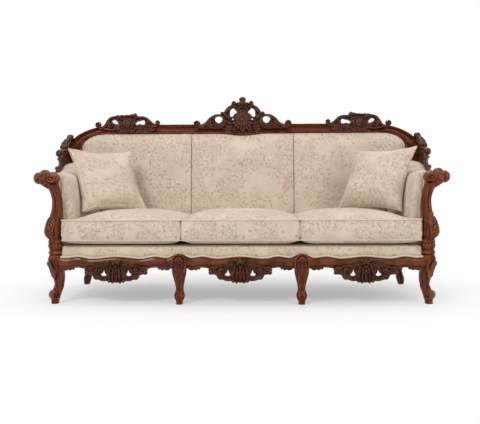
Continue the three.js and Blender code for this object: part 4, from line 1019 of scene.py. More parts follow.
def crest_side():
    shapes = bands((
        (21, 16, [(82, 1051), (106, 1044), (125, 1024), (143, 996), (162, 984), (188, 982)]),
        (18, 15, [(-56, 1047), (-92, 1047), (-120, 1038), (-144, 1018), (-164, 1002),
                  (-188, 1001)]),
        (13, 11, [(56, 972), (96, 970), (134, 974), (168, 978)]),
        (22, 16, [(190, 1000), (184, 988), (170, 982), (150, 980)]),
        (18, 15, [(-190, 1012), (-184, 998), (-170, 990), (-150, 990)]),
        (13, 11, [(-50, 954), (-96, 953), (-146, 960), (-180, 974)]),
        (14, 13, [(-50, 1040), (-42, 1020), (-50, 1000), (-66, 988), (-92, 986), (-110, 996)]),
    ))
    shapes += leaves((
        (34, 18, 5, [(0, 948), (2, 984), (0, 1034)]),
        (28, 15, 4, [(-6, 958), (-26, 986), (-30, 1030)]),
        (28, 15, 4, [(8, 958), (30, 984), (38, 1024)]),
        (24, 13, 3, [(12, 954), (38, 962), (62, 984)]),
        (24, 13, 3, [(-12, 954), (-36, 960), (-54, 982)]),
        (26, 14, 4, [(-44, 978), (-80, 976), (-114, 986)]),
        (22, 12, 3, [(-56, 962), (-96, 960), (-132, 966)]),
        (38, 16, 4, [(-104, 974), (-136, 978), (-170, 990)]),
        (20, 12, 3, [(-128, 962), (-152, 962), (-178, 976)]),
        (22, 14, 3, [(34, 1030), (50, 1044), (74, 1052)]),
        (20, 14, 3, [(-30, 1028), (-44, 1042), (-70, 1050)]),
        (18, 12, 3, [(-118, 1034), (-128, 1020), (-130, 1000)]),
        (18, 13, 3, [(120, 1026), (128, 1006), (140, 986)]),
    ))
    shapes += volute((187, 1003), 22, 1.25, -0.5 * math.pi, 1, RELIEF, 10, 16)
    shapes += volute((106, 1000), 23, 1.4, 0.4 * math.pi, -1, RELIEF - 3, 10, 15)
    shapes += volute((-189, 1014), 19, 1.2, -0.5 * math.pi, -1, RELIEF, 10, 15)
    for x, z, size in ((64, 1056, 9), (40, 1057, 9), (20, 1056, 8), (3, 1057, 9),
                       (-23, 1059, 11), (-45, 1060, 15)):
        shapes.append(ball((x, RELIEF - 3, z), (size, size, size)))
    shapes += petals((4, 1004), 24, 8, RELIEF - 11, 9)
    shapes.append(ball((4, RELIEF - 18, 1004), (8, 8, 8)))
    shapes.append(slab(SIDE_WEB, WEB_FRONT, WEB_BACK))
    made = fused("crest_carving_side_right", raked(moved(shapes, SIDE_CREST_X)), 1.5,
                 raked(moved(holes_of(SIDE_HOLES), SIDE_CREST_X)))
    pair("crest_carving_side", made, carved_wood, "crest_carving")


# Carvings under the front rail

APRON_WEB = (
    (0, 114), (18, 119), (34, 116), (50, 126), (66, 126), (84, 130), (104, 140), (128, 156),
    (150, 158), (164, 168), (158, 180), (148, 192), (128, 198), (104, 206), (72, 210), (62, 224),
    (44, 233), (20, 234), (0, 238))
APRON_HOLES = (
    ((50, 156), (56, 151), (66, 149), (78, 153), (80, 160), (70, 165), (66, 172), (65, 183),
     (62, 183), (61, 172), (57, 164)),)
APRON_FRONT = -13
APRON_BACK = -1
APRON_X = 645


def apron_shapes():
    depth = APRON_FRONT + 1
    half = bands((
        (17, 12, [(48, 130), (66, 130), (86, 137), (108, 150), (130, 164), (152, 166)]),
        (11, 10, [(88, 146), (104, 158), (122, 172), (142, 182)]),
        (11, 10, [(58, 188), (78, 200), (104, 202), (128, 194)]),
        (10, 10, [(52, 184), (46, 168), (46, 148), (52, 136)]),
    ), depth)
    half += leaves((
        (18, 13, 4, [(30, 192), (37, 160), (36, 122)]),
        (17, 14, 4, [(13, 192), (18, 158), (18, 118)]),
        (16, 10, 3, [(122, 186), (142, 194), (162, 188)]),
        (15, 10, 3, [(70, 190), (62, 198), (52, 204)]),
        (14, 10, 3, [(92, 134), (108, 138), (122, 150)]),
        (14, 9, 3, [(8, 214), (20, 226), (32, 233)]),
        (18, 10, 3, [(138, 178), (154, 184), (168, 180)]),
    ), depth)
    half += volute((45, 213), 18, 1.4, -0.5 * math.pi, 1, depth, 8, 11)
    half += volute((98, 178), 20, 1.4, 0.5 * math.pi, -1, depth - 1, 9, 11)
    half += [ball((153, depth, 168), (12, 11, 12)), ball((37, depth, 122), (8, 10, 8)),
             ball((19, depth, 117), (7, 10, 7)), ball((66, depth, 131), (7, 10, 6))]
    whole = mirrored(half)
    whole.append(leaf([(0, 196), (0, 160), (0, 112)], depth - 1, 20, 15, 5))
    whole += petals((0, 212), 20, 7, depth - 2, 9, 0.05 * math.pi, 0.9 * math.pi)
    whole.append(ball((0, depth - 2, 224), (12, 10, 13), 6, 0.08))
    whole.append(ball((0, depth - 5, 198), (9, 9, 8)))
    whole.append(slab(both_sides(APRON_WEB), APRON_FRONT, APRON_BACK))
    return whole


def aprons():
    holes = on_both_sides([*APRON_HOLES, round_hole(20, 200, 7)])
    made = fused("apron_carving_middle", apron_shapes(), 1.5, holes_of(holes))
    for side, x in (("left", -APRON_X), ("right", APRON_X)):
        twin = copy_of(made, "apron_carving_bay_" + side)
        set_places(twin.data, places_of(twin.data) + np.array([x * MM, 0, 0]))
        finish_piece(twin, carved_wood, ["apron_carving_" + side])
    finish_piece(made, carved_wood, ["apron_carving_centre"])


# Carved wings from the top rail down on to the arms: share of the way forward, and of the height.

WING = (
    (0, 0.9), (0.06, 0.97), (0.14, 0.9), (0.24, 0.77), (0.34, 0.62), (0.43, 0.48), (0.52, 0.44),
    (0.6, 0.46), (0.68, 0.4), (0.76, 0.26), (0.84, 0.14), (0.93, 0.06), (1, 0.01))
WING_TOP = 935
WING_TIP = 400
WING_THICKNESS = 34
WING_PROUD = 14
WING_SUNK = 30
WING_REAR = 702
WING_LEAN = 0.06


def wing_at(share):
    """Centre line of the wing in plan, its half thickness, and its lower and upper edge."""
    y = WING_REAR + (WING_TIP - WING_REAR) * share
    arm = min(1, (y - ARM_FRONT) / (back_front(ARM_REAR_TOP) - ARM_FRONT) / 0.94)
    low = arm_top_at(arm) - WING_SUNK
    high = arm_top_at(arm) + table(WING, [share])[0, 0] * (WING_TOP - ARM_REAR_TOP)
    x = arm_outer_top(arm) + WING_PROUD - WING_THICKNESS / 2
    return x, y, WING_THICKNESS / 2 * (1 - 0.5 * share), low, high


def wing_line(rows, way):
    """Points on one face of the wing, from shares forward and up. way is 1 outward."""
    points = []
    for share, up in rows:
        x, y, half, low, high = wing_at(share)
        points.append((x + way * half * (0.8 - 0.25 * up), y, low + (high - low) * up))
    return points


def wing_relief(rows, way, width, rise, section):
    count = 36
    t = np.linspace(0, 1, count)
    ends = np.minimum(1, np.minimum(t + 0.06, 1.03 - t) * 4) ** 0.6
    return strip(spline(wing_line(rows, way), count), facing(count, (float(way), -0.15, 0.1)),
                 width / 2 * ends, rise * ends, section, 13, 6)


WING_BEND = 835


def wing_leaned(shapes):
    """Leans the wing's upper part in over the corner of the top rail."""
    return reshaped(shapes, lambda x, y, z: (x - WING_LEAN * max(0.0, z - WING_BEND) ** 1.15,
                                             y, z))


# Relief on both faces of the wing: width, rise, section and the line as shares forward and up
WING_RELIEF = (
    (22, 9, groove_section(0.5),
     ((0.02, 0.9), (0.14, 0.84), (0.3, 0.8), (0.44, 0.78), (0.52, 0.6))),
    (20, 9, groove_section(0.4),
     ((0.42, 0.3), (0.54, 0.62), (0.64, 0.82), (0.72, 0.74), (0.7, 0.5))),
    (17, 6, groove_section(0.5), ((0.72, 0.45), (0.84, 0.55), (0.97, 0.6))),
    (34, 8, leaf_section(5), ((0.03, 0.3), (0.14, 0.45), (0.3, 0.6))),
    (30, 8, leaf_section(5), ((0.1, 0.24), (0.26, 0.32), (0.42, 0.56))),
    (26, 7, leaf_section(4), ((0.26, 0.22), (0.42, 0.26), (0.58, 0.44))),
    (26, 8, leaf_section(4), ((0.02, 0.62), (0.12, 0.7), (0.22, 0.68))))
WING_DISC = ((0, 0.5), (0.08, 0.85), (0.3, 1), (0.7, 1), (0.92, 0.85), (1, 0.5))
# Knobs on the wing: share forward, outward and rearward step, drop from the top, radii beyond
# the half thickness, and ribs with their depth
WING_KNOBS = (
    (0.09, 5, 0, 26, (5, 22, 20), (7, 0.08)), (0.16, 10, 0, 24, (5, 22, 21), (7, 0.08)),
    (0.23, 14, 0, 22, (5, 22, 21), (7, 0.08)), (0.3, 15, 0, 22, (5, 22, 19), (7, 0.08)),
    (0.63, 9, 0, 8, (11, 28, 25), (9, 0.06)), (0.63, 5, -12, 42, (5, 14, 10), ()),
    (0.9, 8, 0, 12, (4, 30, 14), ()))


def wing():
    rings = []
    for share in np.linspace(0, 1, 60):
        x, y, half, low, high = wing_at(share)
        ring = []
        for angle in round_angles(28):
            across, up = math.cos(angle), math.sin(angle)
            ring.append((x + half * 0.82 * math.copysign(abs(across) ** 0.7, across), y,
                         (low + high) / 2
                         + (high - low) / 2 * math.copysign(abs(up) ** 0.8, up)))
        rings.append(ring)
    shapes = [loft(rings)]
    for way in (-1, 1):
        for width, rise, section, rows in WING_RELIEF:
            shapes.append(wing_relief(rows, way, width, rise, section))
    for share, up, size in ((0.05, 1.0, 20), (0.36, 1.03, 12), (0.44, 1.0, 9)):
        x, y, half, low, high = wing_at(share)
        shapes.append(lathe_x(WING_DISC, x - half - 3, x + half + 3, y,
                              low + (high - low) * up - size * 0.5, size, steps=24))
    for share, out, back, drop, (wide, deep, tall), ribs in WING_KNOBS:
        x, y, half, low, high = wing_at(share)
        shapes.append(ball((x + out, y + back, high - drop), (half + wide, deep, tall), *ribs))
    x, y, half, low, high = wing_at(0.985)
    shapes.append(ball((x + 2, y - 4, (low + high) / 2), (half + 5, 17, (high - low) / 2 + 3),
                       7, 0.08))
    pair("shoulder_carved", fused("shoulder_carved_right", wing_leaned(shapes), 1.7),
         carved_wood, "shoulder")


# Turning, mirroring and placing

def spun(shapes, degrees, x=0.0, y=0.0, z=0.0):
    """Shapes turned about the upright axis and then moved."""
    across, back = math.cos(math.radians(degrees)), math.sin(math.radians(degrees))
    return reshaped(shapes, lambda px, py, pz: (px * across - py * back + x,
                                                px * back + py * across + y, pz + z))


def copy_of(made, name):
    mesh = made.data.copy()
    mesh.name = name
    return in_scene(name, mesh)


def go_left(made):
    """Mirrors a piece that was made on the right over to the left."""
    places = places_of(made.data)
    places[:, 0] *= -1
    set_places(made.data, places)
    made.data.flip_normals()


def pair(name, made, material, node):
    """Finishes a right-hand piece and adds its mirror image."""
    finish_piece(made, material, [node + "_right"])
    twin = copy_of(made, name + "_left")
    go_left(twin)
    finish_piece(twin, material, [node + "_left"])


def ring_of(x, y, z, width, depth, squareness, sides=48, turn=0.0):
    """A level ring: round at a squareness of 2, and squarer above it."""
    ring = []
    power = 2 / squareness
    c, d = math.cos(turn), math.sin(turn)
    for angle in round_angles(sides):
        across, back = math.cos(angle), math.sin(angle)
        px = width / 2 * math.copysign(abs(across) ** power, across)
        py = depth / 2 * math.copysign(abs(back) ** power, back)
        ring.append((x + px * c - py * d, y + px * d + py * c, z))
    return ring


def lathe_x(rows, x_start, x_end, y, z, radius, sides=56, ribs=0, rib_depth=0.0, steps=70):
    """A turned form about an axis along X, from rows of length and radius shares."""
    shares = np.linspace(rows[0][0], rows[-1][0], steps)
    rings = []
    for share, size in zip(shares, table(rows, shares)[:, 0]):
        x = x_start + (x_end - x_start) * share
        ring = []
        for angle in round_angles(sides):
            reach = radius * max(size, 0.02) * (1 + rib_depth * math.cos(ribs * angle))
            ring.append((x, y + reach * math.cos(angle), z + reach * math.sin(angle)))
        rings.append(ring)
    return loft(rings)


def lathe_y(rows, y_start, y_end, x, z, radius, sides=48, steps=30):
    """A turned form about an axis along Y."""
    points, faces = lathe_x(rows, y_start, y_end, 0, 0, radius, sides, steps=steps)
    return [(x + py, px, z + pz) for px, py, pz in points], [face[::-1] for face in faces]


# Top rail of the back

MOULDING = (
    (0, 0.9), (0.02, -0.1), (0.06, -0.95), (0.1, -1.1), (0.14, -0.7), (0.16, 0.2), (0.185, 0.35),
    (0.2, -0.1), (0.27, 0.5), (0.4, 1.2), (0.52, 1.25), (0.64, 0.7), (0.74, -0.3), (0.8, -0.8),
    (0.83, -0.6), (0.85, 0.1), (0.88, -0.5), (0.93, -1.1), (0.97, -0.8), (1, 0.2))
MOULDING_DEPTH = 5.5


def dip_at(x):
    share = min(1, abs(x) / DIP_HALF_WIDTH)
    return CREST_DIP * (0.5 + 0.5 * math.cos(share * math.pi))


def crest_edges():
    """Inner and outer edge of the top rail, from its left end to its right end."""
    inner_start = BACK_HALF_WIDTH - CORNER_REACH
    outer_start = inner_start - CREST_SPREAD
    outer_rise = BACK_TOP + RAIL_FACE - CREST_END
    outer_reach = BACK_HALF_WIDTH + STILE_TOP_WIDTH - outer_start
    drop = BACK_TOP - CORNER_HEIGHT - CREST_END
    rows = []
    for x in np.linspace(0, inner_start, 150)[:-1]:
        rows.append((x, BACK_TOP - dip_at(x), x * outer_start / inner_start, BACK_TOP + RAIL_FACE))
    for share in np.linspace(0, 1, 90):
        angle = share * math.pi / 2
        low = drop * max(0.0, (share - 0.6) / 0.4) ** 1.6
        rows.append((inner_start + CORNER_REACH * math.sin(angle),
                     BACK_TOP - CORNER_HEIGHT + CORNER_HEIGHT * math.cos(angle) - low,
                     outer_start + outer_reach * math.sin(angle),
                     CREST_END + outer_rise * math.cos(angle)))
    left = [(-a, b, -c, d) for a, b, c, d in rows[:0:-1]]
    return left + rows


RAIL_BACK = ((1, 0.75), (0.985, 0.93), (0.94, 1), (0.5, 1), (0.06, 1), (0.015, 0.93), (0, 0.75))


def crest_rail():
    shares = np.linspace(0, 1, 75)
    depths = table(MOULDING, shares)[:, 0] * MOULDING_DEPTH
    section = [*zip(shares, depths), *((s, FRAME_THICKNESS * d) for s, d in RAIL_BACK)]
    rings = []
    for inner_x, inner_z, outer_x, outer_z in crest_edges():
        rings.append([(inner_x + (outer_x - inner_x) * s, d, inner_z + (outer_z - inner_z) * s)
                      for s, d in section])
    made = mesh_object("crest_rail_moulding", *raked([loft(rings)])[0])
    shade_cavities(made, 6, CAVITY_SCALE / 2)
    finish_piece(made, rail_wood, ["crest_rail"])


# Front seat rail with its waved edges

UPPER_WAVE = ((0, 0), (0.39, -0.5), (0.62, 0.05), (0.8, -0.3), (1, 0.85))
OUTER_WAVE = ((0, 0), (0.39, -0.5), (0.62, 0.05), (0.8, -0.3), (1, 0))
LOWER_WAVE = ((0, -0.3), (0.45, -0.2), (0.62, 0.2), (0.8, -0.1), (1, 0))


def bay_at(x):
    reach = abs(x)
    inner = reach < MIDDLE_X
    centre = 0 if inner else (CORNER_X + MIDDLE_X) / 2
    half = MIDDLE_X if inner else (CORNER_X - MIDDLE_X) / 2
    return abs(reach - centre) / half, reach > centre and not inner


def rail_upper(x):
    share, outside = bay_at(x)
    return LIP_TOP + RAIL_WAVE * table(OUTER_WAVE if outside else UPPER_WAVE, [share])[0, 0]


def rail_lower(x):
    return RAIL_BOTTOM + RAIL_WAVE * table(LOWER_WAVE, [bay_at(x)[0]])[0, 0]


RAIL_SECTION = (
    (1, 0), (0.6, 0), (0.24, 0), (0.08, 0.015), (-0.02, 0.05), (-0.06, 0.1), (-0.03, 0.155),
    (0.045, 0.18), (0.05, 0.2), (-0.06, 0.28), (-0.15, 0.4), (-0.18, 0.55), (-0.15, 0.7),
    (-0.07, 0.82), (0.02, 0.89), (0.03, 0.91), (-0.03, 0.93), (-0.03, 0.965), (0.03, 0.99),
    (0.12, 1), (0.24, 1), (0.29, 0.97))


def front_rail():
    half = CORNER_X - 30
    rings = []
    for x in np.linspace(-half, half, 480):
        low, high = rail_lower(x), rail_upper(x)
        ring = [(x, RAIL_THICKNESS * d, low + (high - low) * h) for d, h in RAIL_SECTION]
        rings.append(ring + [(x, LIP_THICKNESS, RAIL_TOP + 1), (x, LIP_THICKNESS + 1, RAIL_TOP),
                             (x, RAIL_THICKNESS, RAIL_TOP)])
    made = mesh_object("front_seat_rail_waved", *loft(rings))
    shade_cavities(made, 5, CAVITY_SCALE / 2)
    # Painted shade: the rail takes the darker copy of the polished wood.
    finish_piece(made, front_wood_shaded, ["front_seat_rail"])
    shapes = []
    for side in (-1, 1):
        for x, way in ((MIDDLE_X - 44, -1), (MIDDLE_X + 44, 1), (CORNER_X - 42, -1)):
            shapes += rail_curls(side * x, side * way)
    finish_piece(fused("front_seat_rail_curls", shapes), carved_wood)


def rail_curls(x, way):
    """Small leaves that curl along the rail's lower edge, away from a leg."""
    shapes = []
    for reach, size in ((0, 24), (26, 20), (47, 15)):
        start = x + way * reach
        base = rail_lower(start)
        rows = [(start, base + 12), (start + way * size * 0.5, base + 2),
                (start + way * size, base - 3), (start + way * size * 1.25, base + 2)]
        shapes.append(leaf(rows, 3, size * 0.75, 8, 3, tip=0.5, count=20, sink=9))
        shapes.append(ball((start + way * size * 1.15, 1, base + 2),
                           (size * 0.2, size * 0.3, size * 0.2)))
    return shapes


# Corner legs. Rows of height, outward swing, width and squareness shares.

CORNER_LEG = (
    (0, 0.12, 0.5, 2.2), (0.05, 0.1, 0.54, 2.2), (0.12, 0.06, 0.66, 2.3), (0.2, -0.06, 0.7, 2.3),
    (0.28, -0.4, 0.62, 2.4), (0.37, -0.66, 0.6, 2.5), (0.48, -0.66, 0.7, 2.7),
    (0.6, -0.58, 0.8, 3), (0.7, -0.46, 0.84, 3.4), (0.8, -0.28, 0.86, 4.5),
    (0.88, -0.08, 0.88, 7), (1, 0, 0.889, 9))
KNEE_WIDTH = 72
LEG_SWING = 34
TOE_RADIUS = 26
TOE_HEIGHT = 46
TOE_STEP = 5


def leg_at(height):
    swing, size, squareness = table(CORNER_LEG, [height / LEG_HEIGHT])[0]
    return -swing * LEG_SWING, size * KNEE_WIDTH, squareness


def leg_face(height):
    """How far forward the leg's front corner stands at a height, before the leg is turned."""
    centre, size, squareness = leg_at(height)
    return centre - size / 2 * 2 ** (0.5 - 1 / squareness)


def leg_strip(low, high, offset, width, rise, lean, section, count=40, proud=0.0):
    """A raised strip up the front of the leg, between two heights."""
    points = []
    for t in np.linspace(0, 1, count):
        height = low + (high - low) * t
        points.append((offset * (0.7 + 0.3 * math.cos(math.pi * t)),
                       leg_face(height) + abs(offset) * lean + 1.5 - proud, height))
    ends = tapered(count, 6)
    return strip(points, facing(count, (offset * 0.02, -1, 0)), width / 2 * (0.25 + 0.75 * ends),
                 rise * (0.2 + 0.8 * ends), section, 13, 6)


TOE_BLEND = 150
TOE_ROLL = ((0, 0.5), (0.04, 0.82), (0.14, 0.96), (0.5, 1), (0.86, 0.96), (0.96, 0.82), (1, 0.5))
TOE_HALF = 23
FOOT = ((0, 37), (3, 40), (9, 41), (14, 38), (17, 36))


def stepped(shapes):
    """Draws the leg's foot forward, more towards the floor."""
    return reshaped(shapes, lambda x, y, z: (x, y - TOE_STEP * max(0.0, 1 - z / TOE_BLEND) ** 1.4,
                                             z))


def corner_leg():
    rings = []
    for height in np.linspace(0, LEG_HEIGHT, 80):
        centre, size, squareness = leg_at(height)
        rings.append(ring_of(0, centre, height, size, size, squareness, 56, math.pi / 4))
    shapes = [loft(rings), leg_strip(66, 150, 0, 17, 5.5, 0, groove_section(0.6)),
              leg_strip(128, 226, 0, 50, 9, 0.4, leaf_section(5), 48, 1)]
    toe_y = leg_at(TOE_HEIGHT)[0] - 9
    shapes.append(lathe_x(TOE_ROLL, -TOE_HALF, TOE_HALF, toe_y, TOE_HEIGHT, TOE_RADIUS, steps=30))
    for side in (-1, 1):
        shapes.append(leg_strip(58, 168, side * 13, 9, 4, 0.9, round_section))
        rows = [(side * 6, 150), (side * 22, 166), (side * 27, 190), (side * 18, 206),
                (side * 10, 196)]
        shapes.append(band(rows, leg_face(185) + 16, 11, 12, SCROLL_TAPER, sink=14))
        face = volute((0, 0), TOE_RADIUS - 1, 1.4, 0.9, side, 0, 8, 7, 4)
        shapes += moved(spun(face, side * 90), side * TOE_HALF, toe_y, TOE_HEIGHT)
        rows = [(side * 4, 60), (side * 13, 68), (side * 20, 80)]
        shapes.append(leaf(rows, leg_face(70) + 6, 12, 8, 3, count=18))
    shapes.append(leaf([(0, 96), (0, 78), (0, 60)], leg_face(76) + 1, 24, 9, 4, count=24))
    shapes.append(loft([ring_of(0, leg_at(0)[0], z, w, w, 2.3, 40, math.pi / 4)
                        for z, w in FOOT]))
    made = fused("front_corner_leg_carved_right",
                 stepped(spun(shapes, 45, CORNER_X, CORNER_Y)), 1.8)
    pair("front_corner_leg_carved", made, post_wood, "front_corner_leg")


# Middle legs. Rows of height, forward swing, width and depth shares.

MIDDLE_LEG = (
    (0, -0.45, 0.44, 0.66), (0.07, -0.45, 0.46, 0.78), (0.15, -0.45, 0.62, 0.95),
    (0.24, -0.5, 0.74, 1.0), (0.34, -0.84, 0.6, 0.92), (0.43, -0.98, 0.52, 0.92),
    (0.56, -0.78, 0.61, 1.02), (0.72, -0.32, 0.78, 1.14), (0.87, 0, 0.95, 1.2), (1, 0, 1, 1.2))
CARTOUCHE = ((0, 1), (0.3, 0.97), (0.55, 0.84), (0.75, 0.66), (0.9, 0.42), (1, 0.2))
MIDDLE_WIDTH = 78
MIDDLE_DEPTH = 44
MIDDLE_PROUD = 22
MIDDLE_PEAK = 265
SHOULDER = 186.7


def middle_face(height):
    """How far forward the front of a middle leg stands at a height."""
    if height >= SHOULDER:
        return -MIDDLE_PROUD
    return -MIDDLE_PROUD - table(MIDDLE_LEG, [height / SHOULDER])[0][0] * MIDDLE_DEPTH / 2


BORDER_TAPER = ((0, 0.6), (0.5, 1), (1, 0.5))


def middle_leg():
    rings = []
    for share in np.linspace(0, 1, 70):
        swing, width, depth = table(MIDDLE_LEG, [share])[0]
        y = depth * MIDDLE_DEPTH / 2 - MIDDLE_PROUD - swing * MIDDLE_DEPTH / 2
        rings.append(ring_of(0, y, share * SHOULDER, width * MIDDLE_WIDTH,
                             depth * MIDDLE_DEPTH, 2.6))
    deep = MIDDLE_PROUD + LIP_THICKNESS
    for share in np.linspace(0, 1, 30)[1:]:
        width = table(CARTOUCHE, [share])[0, 0]
        rings.append(ring_of(0, deep / 2 - MIDDLE_PROUD + 2,
                             SHOULDER + (MIDDLE_PEAK - SHOULDER) * share,
                             width * MIDDLE_WIDTH * 0.94, deep - 4, 3.5))
    shapes = [loft(rings)]
    for side in (-1, 1):
        border = [(side * 6, 262), (side * 20, 254), (side * 31, 238), (side * 35, 215),
                  (side * 33, 192), (side * 24, 172), (side * 12, 158)]
        shapes.append(band(border, -MIDDLE_PROUD + 3, 9, 8, BORDER_TAPER, 0.3))
        shapes += volute((side * 25, 176), 11, 1.0, 0.5 * math.pi, -side,
                         middle_face(176) + 3, 6, 7)
        ridge = []
        for height in np.linspace(40, 150, 36):
            width = table(MIDDLE_LEG, [height / SHOULDER])[0][1]
            ridge.append((side * width * MIDDLE_WIDTH * 0.24, middle_face(height) + 1, height))
        shapes.append(strip(ridge, facing(36, (side * 0.25, -1, 0)), np.full(36, 3.6),
                            np.full(36, 4.0), round_section, 9, 5))
        rows = [(side * 3, 58), (side * 9, 50), (side * 15, 36)]
        shapes.append(leaf(rows, middle_face(46) + 3, 14, 8, 3, count=18))
    shapes += petals((0, 224), 27, 7, -MIDDLE_PROUD + 1, 9, 0.1 * math.pi, 0.8 * math.pi, 6)
    shapes.append(ball((0, -MIDDLE_PROUD + 1, 222), (9, 8, 9)))
    for height, size in ((206, 6), (194, 5), (183, 4.2), (174, 3.6), (166, 3)):
        shapes.append(ball((0, middle_face(height) + 1, height), (size, size, size * 1.15)))
    shapes.append(leaf([(0, 74), (0, 58), (0, 34)], middle_face(54) + 2, 22, 10, 4, count=26))
    made = fused("front_middle_leg_carved_right", moved(shapes, MIDDLE_X))
    pair("front_middle_leg_carved", made, post_wood, "front_middle_leg")


REAR_LEG = (
    (0, 0.2, 0.58, 2.4), (0.07, 0.12, 0.7, 2.3), (0.16, -0.04, 0.78, 2.2),
    (0.26, -0.3, 0.66, 2.4), (0.36, -0.56, 0.64, 2.6), (0.52, -0.35, 0.88, 3),
    (0.66, 0.05, 1.1, 3.2), (0.76, 0.1, 1.16, 3.4), (0.86, 0, 1.035, 6), (1, 0, 1.034, 9))
REAR_WIDTH = 58
REAR_SWING = 30
REAR_SWELL = 0.16


def rear_face(share):
    """Centre and half width of the rear leg at a share of its height."""
    swing, size, squareness = table(REAR_LEG, [share])[0]
    shift = swing * REAR_SWING * math.sqrt(0.5)
    return CORNER_X + shift, REAR_Y + shift / 2, size * REAR_WIDTH / 2, squareness


REAR_FULL = 0.86
# Carved strips on the rear leg: sideways offset, width, and the shares of the height they span
REAR_STRIPS = ((0, 24, 0.42, 0.8), (-9, 8, 0.08, 0.46), (9, 8, 0.08, 0.46))


def rear_leg():
    rings = []
    for share in np.linspace(0, 1, 90):
        x, y, half, squareness = rear_face(share)
        fuller = 1
        if share < REAR_FULL:
            fuller += REAR_SWELL * math.sin(math.pi * min(1, share / REAR_FULL))
        size = 2 * half * fuller
        rings.append(ring_of(x, y, share * LEG_HEIGHT, size, size, squareness))
    shapes = [loft(rings)]
    for offset, width, low, high in REAR_STRIPS:
        for face in (-1, 1):
            points = []
            for share in np.linspace(low, high, 34):
                x, y, half, _ = rear_face(share)
                points.append((x + offset, y + face * half * 1.02, share * LEG_HEIGHT))
            ends = tapered(34)
            section = leaf_section(4) if width > 10 else round_section
            shapes.append(strip(points, facing(34, (0, face, 0)),
                                width / 2 * (0.3 + 0.7 * ends), 6 * ends, section, 11, 6))
    pair("rear_leg_carved", fused("rear_leg_carved_right", shapes, 1.8), carved_wood,
         "rear_leg")


# Arm posts: height, sideways and backward sway, width, depth and squareness shares.

POST = (
    (0, 0, 0, 1, 1, 2.2), (0.02, 0, 0, 1, 1, 2.2), (0.035, 0, 0, 0.86, 0.86, 2.2),
    (0.045, 0, 0, 0.86, 0.86, 2.2), (0.055, 0, 0, 0.97, 0.97, 2.2), (0.07, 0, 0, 1, 1, 2.2),
    (0.085, 0, 0, 0.95, 0.95, 2.2), (0.095, 0, 0, 0.84, 0.84, 2.2),
    (0.11, 0, 0, 0.83, 0.83, 2.2), (0.125, 0, 0, 0.92, 0.92, 2.2), (0.15, 0, 0, 0.99, 0.99, 2.2),
    (0.18, 0, 0, 0.97, 0.97, 2.2), (0.19, 0, 0, 0.85, 0.85, 2.2), (0.2, 0, 0, 0.86, 0.86, 2.3),
    (0.21, 0, 0, 0.98, 0.98, 2.4), (0.235, 0, 0, 0.98, 0.98, 2.4), (0.25, 0, 0, 0.86, 0.88, 2.4),
    (0.3, 0.4, 0, 1.0, 1.04, 2.6), (0.37, 0.55, 0.14, 1.06, 1.12, 2.6),
    (0.45, 0.4, 0.3, 1.0, 1.1, 2.6), (0.53, 0.1, 0.55, 0.9, 1.02, 2.5),
    (0.61, -0.35, 0.74, 0.8, 0.94, 2.4), (0.7, -0.6, 0.95, 0.74, 0.85, 2.4),
    (0.79, -0.6, 1, 0.69, 0.81, 2.4), (0.88, -0.3, 0.95, 0.67, 0.83, 2.4),
    (0.95, 0.1, 0.85, 0.75, 0.88, 2.4), (1, 0.5, 0.75, 0.86, 0.9, 2.5))
POST_WIDTH = 69
POST_SWAY = 20


def post_at(height):
    """Centre, width and depth of the post at a height."""
    share = (height - LEG_HEIGHT) / (POST_TOP - LEG_HEIGHT)
    side, back, width, depth, squareness = table(POST, [share])[0]
    return (CORNER_X + side * POST_SWAY, CORNER_Y + back * POST_SWAY,
            width * POST_WIDTH, depth * POST_WIDTH, squareness)


def post_strip(low, high, angle, width, rise, section, count=40):
    """A raised strip up the post, on the side that the angle turns to from the front."""
    turn = math.radians(angle)
    out = (math.sin(turn), -math.cos(turn))
    points = []
    for t in np.linspace(0, 1, count):
        height = low + (high - low) * t
        x, y, wide, deep, squareness = post_at(height)
        reach = (abs(out[0]) ** squareness + abs(out[1]) ** squareness) ** (-1 / squareness)
        points.append((x + out[0] * reach * wide / 2, y + out[1] * reach * deep / 2, height))
    ends = tapered(count)
    return strip(points, facing(count, (*out, 0)), width / 2 * (0.2 + 0.8 * ends),
                 rise * (0.3 + 0.7 * ends), section, 13, 6)


# Raised strips on the post: two heights, angle, width, rise, section and count of steps
POST_STRIPS = (
    *((455, 612, angle, 8, 4.5, round_section) for angle in (-8, 26, 62, 98)),
    (462, 342, 14, 50, 8, leaf_section(6), 50), (452, 350, 72, 42, 9, leaf_section(6), 50),
    (448, 350, 128, 34, 7, leaf_section(5), 46), (440, 350, -48, 30, 5, leaf_section(5), 46),
    *((322, 302, angle, 12, 2.5, round_section, 10) for angle in range(0, 360, 30)),
    (345, 328, 20, 26, 5, leaf_section(2), 14))
POST_BEADS = ((466, 11), (448, 10), (428, 10), (404, 11), (380, 10), (360, 8))


def arm_post():
    rings = []
    for height in np.linspace(LEG_HEIGHT + 0.3, POST_TOP + 8, 150):
        x, y, wide, deep, squareness = post_at(min(height, POST_TOP))
        rings.append(ring_of(x, y, height, wide, deep, squareness))
    shapes = [loft(rings)]
    shapes += [post_strip(*row) for row in POST_STRIPS]
    for height, size in POST_BEADS:
        x, y, wide, deep, _ = post_at(height)
        shapes.append(ball((x + wide / 2 * 0.99, y - 4, height), (size * 0.62, size, size * 0.8)))
    x, y, wide, deep, _ = post_at(392)
    shapes += volute((x + 9, 398), 13, 1.3, 0.6, 1, y - deep / 2 - 4, 6, 7, 10)
    pair("arm_post_carved", fused("arm_post_carved_right", shapes, 1.7), post_wood,
         "arm_post")


# The roll at the arm's front

